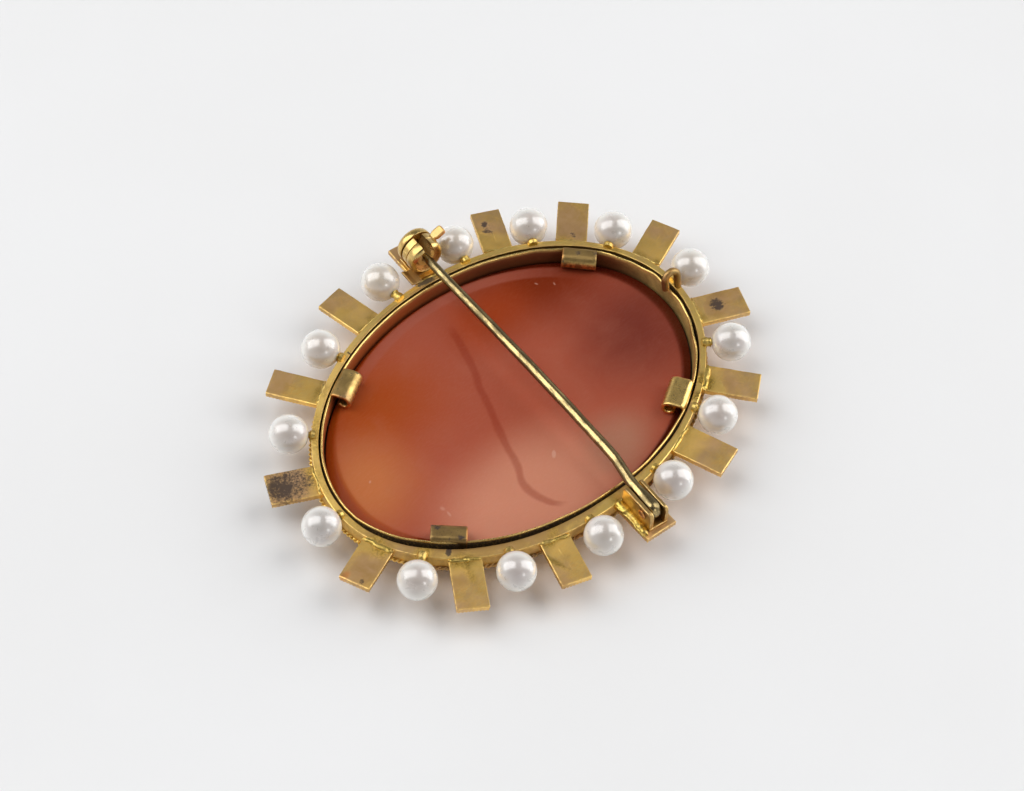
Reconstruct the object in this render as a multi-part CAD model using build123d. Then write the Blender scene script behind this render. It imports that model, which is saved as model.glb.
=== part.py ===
from build123d import *
import os
from math import atan2, cos, degrees, hypot, radians, sin
from typing import NamedTuple

# Cameo brooch, lying face down with its back up. Millimetres, +Z up, Z = 0 on the
# surface that the brooch lies on, +X along the oval's long axis.

# Heights above the surface
back_z = 3.20
bar_top = back_z - 0.10
pin_z = back_z + 1.60
wall_bottom = 1.80
lip_top = 1.30
lip_bottom = 0.95

# Oval frame: half lengths of each oval, long way then short way
rim_outer = (19.10, 13.88)
rim_inner = (18.50, 13.28)
lip_outer = (18.55, 13.33)
lip_inner = (16.75, 11.85)

# Inner collet that holds the stone
collet_outer = (17.90, 12.94)
collet_inner = (17.58, 12.62)
collet_bottom = lip_top + 0.05
collet_top = back_z + 0.18

# Folded tabs of the collet
tab_width = 3.0
tab_sheet = 0.30
tab_rise = back_z + 0.42
tab_nose = 0.62
tab_inset = 0.06
tab_elbow = 0.30
tab_foot = back_z - 0.60

# Stone: 35 x 25 mm oval, bevelled and dished behind, domed in front
stone_girdle = (17.50, 12.50)
stone_girdle_top = back_z - 1.42
stone_girdle_bottom = 1.40
stone_flat = (16.45, 12.25)
stone_back = back_z - 1.10
dish_radius = 11.6
dish_depth = 0.50
dome_steps = ((16.60, 11.70, 1.40), (15.40, 10.70, 1.05), (12.40, 8.50, 0.72), (7.00, 4.80, 0.52))

# Raised flower and leaf sprays on the stone's front
relief_base = 0.95
petal_count = 6
petal_axes = (2.40, 1.60)
petal_ring = 3.70
petal_z = 0.0
heart_r = 1.80
heart_z = 0.10
leaf_axes = (1.70, 0.65)
leaf_first = 7.20
leaf_pitch = 1.90
leaf_pairs = 3
leaf_out = 1.50
leaf_lean = 50
leaf_z = 0.16
leaf_step_z = 0.06
stem_axes = (3.60, 0.35)
stem_x = 9.40
stem_z = 0.32

# Pearls and their pegs
pearl_r = 1.685
pearl_z = back_z
peg_r = 0.50
peg_gap = 0.04
post_r = 0.28
post_length = 1.00
drill_r = 0.32
drill_depth = 1.15

# How far a soldered piece runs into its neighbour
root = 0.30
solder = 0.10

# Bars
bar_thickness = 0.55

# Pin line: the rivet's place and the pin's heading, seen from above
rivet_xy = (-1.00, -16.65)
pin_heading = 80.03
rivet_r = 0.30
rivet_head_r = 0.45
rivet_head = 0.14
pin_length = 32.75
pin_straight_from = 5.00
pin_straight_to = 15.00
pin_r_hinge = 0.48
pin_r = 0.46
pin_r_catch = 0.38
pin_r_tip = 0.17
pin_sharpen_from = 31.0
knuckle_r = 0.85
knuckle_width = 1.00
rivet_z = pin_z + pin_r - knuckle_r
running_fit = 0.04

# Hinge bracket
ear_near = (-1.00, -0.60)
ear_far = (0.58, 0.90)
ear_from = -1.10
ear_to = 2.62
ear_near_top = back_z + 1.95
ear_far_top = back_z + 1.85
ear_corner = 0.45
plate_top = back_z + 0.12

# Revolving catch, measured along the pin line from the rivet
barrel_r = 1.62
barrel_front = 31.20
front_ring_end = 32.22
rotor_start = 32.28
rotor_end = 32.92
cap_start = 33.04
cap_end = 33.90
cap_round = 0.62
rotor_r = 1.56
collar_r = 0.88
collar_bore_r = 0.93
collar_front = 31.50
collar_rear = 33.45
recess_r = 1.25
recess_depth = 0.42
slot_half = 0.44
ring_chamfer = 0.28
foot_width = 2.40
foot_top = back_z + 0.02
saddle_half = 0.75
post_clearance = 0.20
lever_angle = 25.0
lever_length = 1.18
lever_neck = 0.16
lever_width = 0.84
lever_thickness = 0.46
lever_tip_round = 0.22

# Safety-chain loop
loop_angle = -8.5
loop_wire_r = 0.27
loop_half_span = 0.50
loop_leg = 1.30
loop_offset = -0.78
loop_lean = 12.0
loop_inner_start = -0.30
loop_outer_start = 0.32

# Longer than any cut needs
clear = 2.0


class Bar(NamedTuple):
    """One radiating bar: place on the oval, skew from square, length and width."""
    angle: float
    skew: float
    length: float
    width: float


class Pearl(NamedTuple):
    """One pearl: place on the oval and how far its centre stands out."""
    angle: float
    stand_off: float


class Tab(NamedTuple):
    """One folded tab: place on the oval and where its level run ends, from the collet's outside."""
    angle: float
    reach: float


tabs = [
    Tab(angle=30.2, reach=0.80),
    Tab(angle=122.5, reach=0.95),
    Tab(angle=-54.7, reach=1.15),
    Tab(angle=-146.5, reach=1.50),
]

bars = [
    Bar(angle=77.3, skew=-0.8, length=4.45, width=2.70),
    Bar(angle=56.5, skew=-4.7, length=4.44, width=2.60),
    Bar(angle=34.3, skew=-3.1, length=4.41, width=2.73),
    Bar(angle=8.1, skew=6.4, length=4.40, width=2.65),
    Bar(angle=-20.9, skew=0.2, length=4.42, width=2.90),
    Bar(angle=-47.3, skew=0.0, length=4.70, width=2.70),
    Bar(angle=-69.2, skew=-1.4, length=4.65, width=3.05),
    Bar(angle=-92.0, skew=-6.6, length=4.35, width=3.05),
    Bar(angle=-115.2, skew=-3.6, length=4.47, width=2.66),
    Bar(angle=-140.5, skew=3.4, length=4.78, width=2.75),
    Bar(angle=-167.9, skew=0.5, length=4.25, width=2.80),
    Bar(angle=158.4, skew=-2.3, length=4.15, width=3.00),
    Bar(angle=126.0, skew=1.2, length=4.50, width=2.60),
    Bar(angle=99.7, skew=-2.4, length=4.45, width=2.70),
]

pearls = [
    Pearl(angle=66.6, stand_off=1.90),
    Pearl(angle=46.2, stand_off=1.78),
    Pearl(angle=22.0, stand_off=1.78),
    Pearl(angle=-4.9, stand_off=1.92),
    Pearl(angle=-34.2, stand_off=2.16),
    Pearl(angle=-58.5, stand_off=1.96),
    Pearl(angle=-81.3, stand_off=1.80),
    Pearl(angle=-104.4, stand_off=1.78),
    Pearl(angle=-127.9, stand_off=1.91),
    Pearl(angle=-153.2, stand_off=2.35),
    Pearl(angle=174.6, stand_off=1.78),
    Pearl(angle=141.4, stand_off=1.88),
    Pearl(angle=113.2, stand_off=1.86),
    Pearl(angle=88.2, stand_off=2.25),
]


def outward(oval, angle, stand_off=0.0, z=0.0):
    """Place on an oval's edge, its local X pointing squarely outwards."""
    half_long, half_short = oval
    turn = radians(angle)
    normal_x = half_short * cos(turn)
    normal_y = half_long * sin(turn)
    size = hypot(normal_x, normal_y)
    x = half_long * cos(turn) + stand_off * normal_x / size
    y = half_short * sin(turn) + stand_off * normal_y / size
    return Location((x, y, z), (0, 0, degrees(atan2(normal_y, normal_x))))


def oval_slab(oval, bottom, top):
    """Solid oval plate between two heights."""
    return Pos(0, 0, bottom) * extrude(Ellipse(*oval), top - bottom)


def rod(radius, start, end, along=Axis.X):
    """Round rod on a local axis, from start to end."""
    turns = {Axis.X: Rot(0, 90, 0), Axis.Y: Rot(-90, 0, 0), Axis.Z: Rot(0, 0, 0)}
    blank = Cylinder(radius, end - start, align=(Align.CENTER, Align.CENTER, Align.MIN))
    shift = {Axis.X: Pos(start, 0, 0), Axis.Y: Pos(0, start, 0), Axis.Z: Pos(0, 0, start)}
    return shift[along] * turns[along] * blank


def block(x_span, y_span, z_span):
    """Box between pairs of limits."""
    size = [span[1] - span[0] for span in (x_span, y_span, z_span)]
    corner = (x_span[0], y_span[0], z_span[0])
    return Pos(*corner) * Box(*size, align=(Align.MIN, Align.MIN, Align.MIN))


# The pin frame: origin under the rivet, local Y along the pin towards the catch
pin_frame = Location((*rivet_xy, 0), (0, 0, pin_heading - 90))


def make_rim():
    """Oval band that slopes in below to the front lip."""
    rim = oval_slab(rim_outer, wall_bottom, back_z)
    slope = [Pos(0, 0, wall_bottom) * Ellipse(*rim_outer), Pos(0, 0, lip_bottom) * Ellipse(*lip_outer)]
    rim += loft(slope, ruled=True)
    rim -= oval_slab(rim_inner, lip_top, back_z)
    return rim - oval_slab(lip_inner, lip_bottom, lip_top)


def make_bar(row):
    """Flat bar soldered to the rim's outside."""
    blank = block((-root, row.length), (-row.width / 2, row.width / 2),
                  (bar_top - bar_thickness, bar_top))
    return outward(rim_outer, row.angle) * Rot(0, 0, row.skew) * blank


def make_peg(row):
    """Peg from the rim to a pearl, with its post in the pearl's drilling."""
    cup_end = row.stand_off - pearl_r - peg_gap
    post_end = row.stand_off - pearl_r + post_length
    peg = rod(post_r, -root, post_end)
    if cup_end > 0:
        peg += rod(peg_r, -root, cup_end)
    return outward(rim_outer, row.angle, z=pearl_z) * peg


def make_hinge_bracket():
    """Two ears on a plate, soldered to the hinge bar, open at the top."""
    near, far = ear_near[0], ear_far[1]
    bracket = block((near, far), (ear_from, ear_to), (bar_top - solder, plate_top))
    for span, top in ((ear_near, ear_near_top), (ear_far, ear_far_top)):
        ear = block(span, (ear_from, ear_to), (bar_top, top))
        corners = ear.edges().filter_by(Axis.X).group_by(Axis.Z)[-1]
        bracket += fillet(corners, ear_corner)
    bore = Pos(0, 0, rivet_z) * rod(rivet_r + running_fit, near, far)
    return pin_frame * (bracket - bore)


def make_catch_housing():
    """Front ring, rear cap and foot of the catch, with the mouth on top."""
    axis = Pos(0, 0, pin_z)
    ring = rod(barrel_r, barrel_front, front_ring_end, Axis.Y)
    ring = chamfer(ring.edges().group_by(Axis.Y)[0], ring_chamfer)
    ring -= rod(recess_r, barrel_front, barrel_front + recess_depth, Axis.Y)
    ring -= rod(collar_bore_r, barrel_front, front_ring_end, Axis.Y)
    ring -= block((-slot_half, slot_half), (barrel_front, front_ring_end), (0, 2 * barrel_r))
    cap = rod(barrel_r, cap_start, cap_end, Axis.Y)
    cap = fillet(cap.edges().group_by(Axis.Y)[-1], cap_round)
    cap -= rod(collar_bore_r, cap_start, collar_rear + running_fit, Axis.Y)
    width = (-saddle_half, saddle_half)
    post_top = pin_z - collar_bore_r - post_clearance
    foot = block((-foot_width / 2, foot_width / 2), (barrel_front + solder, cap_end - solder),
                 (bar_top - solder, foot_top))
    saddle = block(width, (barrel_front + recess_depth, cap_end - cap_round),
                   (bar_top - solder, pin_z - rotor_r - running_fit))
    post = block(width, (barrel_front + recess_depth, front_ring_end), (bar_top, post_top))
    stop = block(width, (cap_start, cap_end - cap_round), (bar_top, post_top))
    return pin_frame * (axis * (ring + cap) + foot + saddle + post + stop)


def make_chain_loop():
    """Upright wire loop beside the groove, for a safety chain."""
    half = loop_half_span
    arch = Pos(0, 0, loop_leg) * Rot(90, 0, 0) * Torus(half, loop_wire_r)
    arch &= block((-clear, clear), (-clear, clear), (loop_leg, loop_leg + clear))
    legs = Pos(half, 0) * rod(loop_wire_r, loop_inner_start, loop_leg, Axis.Z)
    legs += Pos(-half, 0) * rod(loop_wire_r, loop_outer_start, loop_leg, Axis.Z)
    place = outward(rim_outer, loop_angle, loop_offset, back_z)
    return place * Rot(-loop_lean, 0, 0) * (arch + legs)


def make_frame():
    """Everything that is soldered to the rim, as one solid."""
    frame = make_rim()
    for row in bars:
        frame += make_bar(row)
    for row in pearls:
        frame += make_peg(row)
    frame += make_hinge_bracket()
    frame += make_catch_housing()
    return frame + make_chain_loop()


def make_tab(row):
    """One tab that rises from the collet and curls over on to the stone."""
    middle = tab_sheet / 2 + tab_inset
    nose_z = tab_rise - tab_nose
    path = Line((middle, tab_foot), (middle, tab_rise - tab_elbow))
    path += RadiusArc((middle, tab_rise - tab_elbow), (middle + tab_elbow, tab_rise), tab_elbow)
    path += Line((middle + tab_elbow, tab_rise), (row.reach, tab_rise))
    nose = ThreePointArc((row.reach, tab_rise), (row.reach + tab_nose, nose_z),
                         (row.reach, nose_z - tab_nose))
    path += nose
    strip = Plane.XZ * trace(path, tab_sheet)
    strip = extrude(strip, tab_width / 2, both=True)
    return outward(collet_outer, row.angle) * Rot(0, 0, 180) * strip


def make_collet():
    """Thin oval wall round the stone, with its four tabs."""
    collet = oval_slab(collet_outer, collet_bottom, collet_top)
    collet -= oval_slab(collet_inner, collet_bottom, collet_top)
    for row in tabs:
        collet += make_tab(row)
    return collet


def make_relief():
    """Raised flower and two leaf sprays on the stone's front."""
    def raised(long, short, top):
        return Pos(0, 0, top) * extrude(Ellipse(long, short), relief_base - top)

    relief = raised(heart_r, heart_r, heart_z)
    for step in range(petal_count):
        relief += Rot(0, 0, 360 / petal_count * step) * Pos(petal_ring, 0, 0) * raised(*petal_axes, petal_z)
    for facing in (0, 180):
        side = raised(*stem_axes, stem_z)
        side = Pos(stem_x, 0, 0) * side
        for step in range(leaf_pairs):
            leaf = Pos(leaf_out, 0, 0) * raised(*leaf_axes, leaf_z + leaf_step_z * step)
            for lean in (-leaf_lean, leaf_lean):
                side += Pos(leaf_first + leaf_pitch * step, 0, 0) * Rot(0, 0, lean) * leaf
        relief += Rot(0, 0, facing) * side
    return relief


def make_stone():
    """Oval stone: bevelled dished back, straight girdle, domed front with relief."""
    back = [Pos(0, 0, stone_back) * Ellipse(*stone_flat),
            Pos(0, 0, stone_girdle_top) * Ellipse(*stone_girdle)]
    stone = loft(back, ruled=True)
    stone += oval_slab(stone_girdle, stone_girdle_bottom, stone_girdle_top)
    dome = [Pos(0, 0, z) * Ellipse(long, short) for long, short, z in dome_steps]
    stone += loft(dome, ruled=True)
    bowl_r = (dish_radius**2 + dish_depth**2) / (2 * dish_depth)
    stone -= Pos(0, 0, stone_back - dish_depth + bowl_r) * Sphere(bowl_r)
    return stone + make_relief()


def make_pearl(row):
    """Round pearl, half drilled for its post."""
    drill = rod(drill_r, -pearl_r - clear, -pearl_r + drill_depth)
    return outward(rim_outer, row.angle, row.stand_off, pearl_z) * (Sphere(pearl_r) - drill)


def make_pin_stem():
    """Tapered pin with a flat round knuckle that turns on the rivet."""
    profile = make_face(Polyline((0, 0), (pin_r_hinge, 0), (pin_r, pin_straight_from),
                                 (pin_r, pin_straight_to), (pin_r_catch, pin_sharpen_from),
                                 (pin_r_tip, pin_length), (0, pin_length), close=True))
    wire = Pos(0, 0, pin_z) * revolve(profile, Axis.Y)
    knuckle = Pos(0, 0, rivet_z) * rod(knuckle_r, -knuckle_width / 2, knuckle_width / 2)
    bore = Pos(0, 0, rivet_z) * rod(rivet_r + running_fit, -clear, clear)
    return pin_frame * (wire + knuckle - bore)


def make_rivet():
    """Headed rivet through both ears and the knuckle."""
    near = ear_near[0] - running_fit
    far = ear_far[1] + running_fit
    shank = rod(rivet_r, near, far)
    heads = rod(rivet_head_r, near - rivet_head, near)
    heads += rod(rivet_head_r, far, far + rivet_head)
    return pin_frame * Pos(0, 0, rivet_z) * (shank + heads)


def make_rotor():
    """Turning ring of the catch with its lever; its slot faces up when open."""
    rotor = rod(rotor_r, rotor_start, rotor_end, Axis.Y)
    rotor += rod(collar_r, collar_front, collar_rear, Axis.Y)
    middle = (rotor_start + rotor_end) / 2
    tip = rotor_r + lever_length
    height = (-lever_thickness / 2, lever_thickness / 2)
    neck = block((rotor_r - root, tip - lever_tip_round), (rotor_start, rotor_end), height)
    lever = block((rotor_r + lever_neck, tip), (middle - lever_width / 2, middle + lever_width / 2), height)
    corners = lever.edges().filter_by(Axis.Z).group_by(Axis.X)[-1]
    rotor += Rot(0, -lever_angle, 0) * (neck + fillet(corners, lever_tip_round))
    slot = rod(slot_half, collar_front, rotor_end, Axis.Y)
    slot += block((-slot_half, slot_half), (collar_front, rotor_end), (0, 2 * rotor_r))
    return pin_frame * Pos(0, 0, pin_z) * (rotor - slot)


def write(node, shape):
    """Write one piece to its own file."""
    export_step(shape, os.path.join("parts", node + ".step"))


def main():
    os.makedirs("parts", exist_ok=True)
    write("frame", make_frame())
    write("collet", make_collet())
    write("cameo_stone", make_stone())
    write("pin_stem", make_pin_stem())
    write("hinge_rivet", make_rivet())
    write("catch_rotor", make_rotor())
    for number, row in enumerate(pearls, start=1):
        write(f"pearl_{number:02d}", make_pearl(row))


main()
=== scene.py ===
"""Looks of an oval cameo brooch that lies face down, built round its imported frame.

Sizes in the classes are millimetres in the brooch's own frame, with Z = 0 on the table, and
every mesh is written in metres. Angles of places on the ovals are ellipse parameters.
"""

import logging
import math
from dataclasses import dataclass, field, replace
from enum import Enum
from typing import NamedTuple

import bpy
import numpy as np
from mathutils import Matrix, Vector


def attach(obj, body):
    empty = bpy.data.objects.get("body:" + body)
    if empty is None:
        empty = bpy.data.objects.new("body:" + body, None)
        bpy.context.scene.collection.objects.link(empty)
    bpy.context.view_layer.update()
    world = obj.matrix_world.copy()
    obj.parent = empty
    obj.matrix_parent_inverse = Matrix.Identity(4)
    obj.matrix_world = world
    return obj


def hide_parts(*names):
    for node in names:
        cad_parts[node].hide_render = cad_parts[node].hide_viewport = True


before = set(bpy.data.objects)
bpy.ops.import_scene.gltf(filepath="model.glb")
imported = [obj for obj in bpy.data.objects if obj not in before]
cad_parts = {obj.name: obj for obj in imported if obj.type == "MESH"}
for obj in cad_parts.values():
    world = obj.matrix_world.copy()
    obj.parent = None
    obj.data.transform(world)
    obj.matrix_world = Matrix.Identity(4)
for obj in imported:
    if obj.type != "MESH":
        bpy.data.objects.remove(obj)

MM = 0.001
BACK_Z = 3.20
LOG = logging.getLogger("brooch")


class Body(Enum):
    """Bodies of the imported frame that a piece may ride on."""

    BROOCH = "brooch"
    PIN = "pin"
    CATCH = "catch"


class Slot(Enum):
    """Material slots of the record."""

    GILT = "gilt_metal"
    PIN = "pin_metal"
    STONE = "cameo_stone"
    PEARL = "pearl"


class Mark(Enum):
    """Marks painted on a metal piece's points, each a value from 0 to 1."""

    TARNISH = "tarnish"
    # black tarnish, and painted shade put in grooves and shadows
    SOOT = "soot"
    SOLDER = "solder"
    # worn edges, and painted highlights on the tabs and the catch's front chamfer
    BRIGHT = "bright"
    COPPER = "copper"
    MATT = "matt"


class Bar(NamedTuple):
    """One ray bar: its place on the oval, skew from square, length and width."""

    angle: float
    skew: float
    length: float
    width: float


class PearlPlace(NamedTuple):
    """One pearl: its place on the oval and how far its centre stands out."""

    angle: float
    stand_off: float


class Tab(NamedTuple):
    """One folded tab: its place on the oval and where its level run ends."""

    angle: float
    reach: float


class Patch(NamedTuple):
    """A soft-edged oval mark seen from above.

    Args: x and y of its middle, half sizes across and along, turn in degrees, its kind and strength.
    """

    x: float
    y: float
    across: float
    along: float
    turn: float
    mark: Mark
    strength: float


BARS = (
    Bar(77.3, -0.8, 4.45, 2.70), Bar(56.5, -4.7, 4.44, 2.60), Bar(34.3, -3.1, 4.41, 2.73),
    Bar(8.1, 6.4, 4.40, 2.65), Bar(-20.9, 0.2, 4.42, 2.90), Bar(-47.3, 0.0, 4.70, 2.70),
    Bar(-69.2, -1.4, 4.65, 3.05), Bar(-92.0, -6.6, 4.35, 3.05), Bar(-115.2, -3.6, 4.47, 2.66),
    Bar(-140.5, 3.4, 4.78, 2.75), Bar(-167.9, 0.5, 4.25, 2.80), Bar(158.4, -2.3, 4.15, 3.00),
    Bar(126.0, 1.2, 4.50, 2.60), Bar(99.7, -2.4, 4.45, 2.70),
)

PEARLS = (
    PearlPlace(66.6, 1.90), PearlPlace(46.2, 1.78), PearlPlace(22.0, 1.78), PearlPlace(-4.9, 1.92),
    PearlPlace(-34.2, 2.16), PearlPlace(-58.5, 1.96), PearlPlace(-81.3, 1.80), PearlPlace(-104.4, 1.78),
    PearlPlace(-127.9, 1.91), PearlPlace(-153.2, 2.35), PearlPlace(174.6, 1.78), PearlPlace(141.4, 1.88),
    PearlPlace(113.2, 1.86), PearlPlace(88.2, 2.25),
)

STAINS_AND_SHADOWS = (
    Patch(11.80, 14.45, 0.44, 0.38, 20, Mark.SOOT, 0.82),
    Patch(11.33, 13.66, 0.66, 0.24, -45, Mark.SOOT, 0.76),
    Patch(11.52, 14.02, 0.30, 0.42, 30, Mark.SOOT, 0.42),
    Patch(11.50, 14.00, 0.90, 0.80, 0, Mark.TARNISH, 0.55),
    Patch(16.50, 8.45, 1.35, 1.00, 60, Mark.TARNISH, 0.90),
    Patch(16.40, 8.20, 0.50, 0.34, 60, Mark.SOOT, 0.55),
    Patch(19.59, -5.63, 0.90, 0.80, 30, Mark.SOOT, 0.78),
    Patch(19.62, -6.02, 0.54, 0.40, 0, Mark.SOOT, 0.42),
    Patch(19.60, -5.60, 1.60, 1.20, 30, Mark.TARNISH, 0.85),
    Patch(-1.10, -17.40, 2.00, 1.40, 0, Mark.TARNISH, 0.85),
    Patch(12.60, -10.80, 0.85, 0.80, 20, Mark.SOLDER, 1.00),
    Patch(14.55, -10.00, 0.28, 0.22, 0, Mark.SOLDER, 1.00),
    Patch(13.90, -12.10, 0.90, 0.60, 40, Mark.TARNISH, 0.60),
    Patch(12.80, -10.20, 1.20, 0.70, -40, Mark.SOLDER, 1.00),
    Patch(11.20, -11.30, 1.40, 0.60, -30, Mark.SOLDER, 0.80),
    Patch(-22.70, -3.15, 0.55, 0.40, 0, Mark.COPPER, 0.75),
    Patch(-22.20, -4.50, 0.34, 0.30, 0, Mark.SOOT, 0.60),
    Patch(-21.20, -3.90, 1.60, 1.20, 10, Mark.TARNISH, 0.50),
    Patch(-19.00, -3.50, 0.95, 1.10, 10, Mark.SOLDER, 0.85),
    Patch(-18.60, -2.60, 0.70, 0.80, 10, Mark.SOLDER, 0.75),
    Patch(-19.80, 6.40, 3.10, 2.20, -20, Mark.SOOT, 0.60),
    Patch(-20.60, 6.70, 1.40, 1.50, -20, Mark.SOOT, 0.16),
    Patch(-20.00, 6.40, 3.40, 2.60, -20, Mark.TARNISH, 0.60),
    Patch(-15.34, -7.49, 0.30, 0.45, -34, Mark.SOOT, 1.00),
    Patch(-11.00, 11.10, 0.90, 1.00, 30, Mark.SOLDER, 0.50),
    Patch(-15.10, -8.80, 1.30, 0.80, -30, Mark.SOLDER, 0.75),
    Patch(-15.50, -10.10, 0.50, 1.30, -20, Mark.SOLDER, 0.55),
    Patch(-9.90, -13.80, 0.35, 2.40, 12, Mark.SOLDER, 0.70),
    Patch(-8.30, -12.50, 1.30, 0.60, 20, Mark.SOLDER, 0.60),
    Patch(-14.60, 8.30, 0.80, 3.40, -35, Mark.SOLDER, 0.70),
    Patch(-17.60, 5.20, 0.80, 2.60, -18, Mark.SOLDER, 0.55),
    Patch(-17.30, -6.40, 1.00, 2.20, -62, Mark.SOLDER, 0.80),
    Patch(-18.80, 0.50, 0.70, 2.20, 0, Mark.SOLDER, 0.35),
    Patch(-6.63, 12.40, 0.16, 0.60, 12, Mark.SOOT, 0.80),
    Patch(17.60, 4.60, 0.70, 1.00, 30, Mark.SOLDER, 0.55),
    Patch(3.60, 17.30, 1.20, 1.20, 0, Mark.TARNISH, 0.95),
    Patch(-1.90, -14.10, 0.70, 0.90, 0, Mark.SOLDER, 0.90),
    # painted shadow on the rim's outer part beside the catch's foot
    Patch(3.55, 13.45, 1.35, 0.42, -10, Mark.SOOT, 0.92),
    Patch(17.40, 9.30, 2.40, 1.60, 43, Mark.TARNISH, 0.50),
    Patch(-20.60, -3.70, 2.60, 1.60, 10, Mark.TARNISH, 0.45),
)


@dataclass(frozen=True)
class Oval:
    """Ellipse in the brooch's plane, by its half lengths along X and Y."""

    long: float
    short: float

    def edge(self, turn: np.ndarray, stand_off: np.ndarray | float = 0.0) -> np.ndarray:
        """Points on the edge: (long cos t, short sin t), moved squarely outwards.

        Args:
            turn: ellipse parameters in radians.
            stand_off: how far outwards along the edge's normal.

        Returns:
            Array of x, y pairs.
        """
        normal = self.normal(turn)
        x = self.long * np.cos(turn) + stand_off * normal[..., 0]
        y = self.short * np.sin(turn) + stand_off * normal[..., 1]
        return np.stack([x, y], axis=-1)

    def normal(self, turn: np.ndarray) -> np.ndarray:
        """Outward unit normals: (short cos t, long sin t) over its length."""
        way = np.stack([self.short * np.cos(turn), self.long * np.sin(turn)], axis=-1)
        return way / np.linalg.norm(way, axis=-1, keepdims=True)


RIM = Oval(19.10, 13.88)


@dataclass(frozen=True)
class Seat:
    """Local frame of a piece on an oval, the rim's unless given: X squarely out of it, Z up."""

    angle: float
    stand_off: float = 0.0
    height: float = 0.0
    skew: float = 0.0
    oval: Oval = RIM

    def place(self, points: np.ndarray) -> np.ndarray:
        """Turn local points by the normal's heading plus the skew and move them to the seat.

        Args:
            points: local x, y, z in the last axis.

        Returns:
            The same points in the brooch's frame.
        """
        turn = np.radians(self.angle)
        normal = self.oval.normal(turn)
        heading = math.atan2(normal[1], normal[0]) + math.radians(self.skew)
        x, y = self.oval.edge(turn, self.stand_off)
        cosine, sine = math.cos(heading), math.sin(heading)
        px, py, pz = np.moveaxis(points, -1, 0)
        return np.stack([x + cosine * px - sine * py, y + sine * px + cosine * py, pz + self.height], axis=-1)


@dataclass(frozen=True)
class PinLine:
    """Frame of the pin: origin under the rivet, Y along the pin to the catch."""

    x: float = -1.00
    y: float = -16.65
    heading: float = 80.03
    axis_z: float = 4.80
    rivet_z: float = 4.41

    def place(self, points: np.ndarray) -> np.ndarray:
        """Turn points about Z by the heading less a right angle and move them to the rivet.

        Args:
            points: local x, y, z in the last axis.

        Returns:
            The same points in the brooch's frame.
        """
        turn = math.radians(self.heading - 90)
        px, py, pz = np.moveaxis(points, -1, 0)
        x = self.x + math.cos(turn) * px - math.sin(turn) * py
        y = self.y + math.sin(turn) * px + math.cos(turn) * py
        return np.stack([x, y, pz], axis=-1)


PIN = PinLine()


@dataclass(frozen=True)
class Flare:
    """How far the thin wall round the stone leans outwards, by ellipse angle."""

    stops: tuple[tuple[float, float], ...] = (
        (-180, 0.40), (-168, 0.12), (-155, -0.22), (-140, -0.42), (-115, -0.40), (-97, -0.24), (-80, 0.06),
        (-60, 0.24), (-40, 0.30), (-20, 0.26),
        (0, 0.22), (25, 0.18), (50, 0.12), (80, 0.12), (105, 0.18), (130, 0.26), (150, 0.36), (180, 0.42))

    def at(self, turn: np.ndarray | float) -> np.ndarray:
        """Lean at each place: straight lines between the stops.

        Args:
            turn: ellipse parameters in radians.

        Returns:
            Outward lean, mm.
        """
        degrees = np.degrees(np.angle(np.exp(1j * np.asarray(turn, float))))
        places, values = np.array(self.stops).T
        return np.interp(degrees, places, values)


FLARE = Flare()


@dataclass(frozen=True)
class Grain:
    """Smooth random field: a sum of sine waves with seeded directions."""

    size: float
    seed: int
    waves: int = 12

    def at(self, points: np.ndarray) -> np.ndarray:
        """Add up sin(k.p + phase) over the waves and scale to about -1 to 1.

        Args:
            points: x, y, z in the last axis, mm.

        Returns:
            One value for each point.
        """
        rng = np.random.default_rng(self.seed)
        way = rng.normal(size=(self.waves, 3))
        way /= np.linalg.norm(way, axis=1, keepdims=True)
        way *= (2 * np.pi / self.size) * rng.uniform(0.65, 1.45, (self.waves, 1))
        phase = rng.uniform(0, 2 * np.pi, self.waves)
        return np.sin(points @ way.T + phase).sum(axis=-1) / math.sqrt(2 * self.waves)


def ease(value: np.ndarray, low: float, high: float) -> np.ndarray:
    """Smooth step from 0 at low to 1 at high: 3t^2 - 2t^3."""
    t = np.clip((value - low) / (high - low), 0, 1)
    return t * t * (3 - 2 * t)


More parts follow.
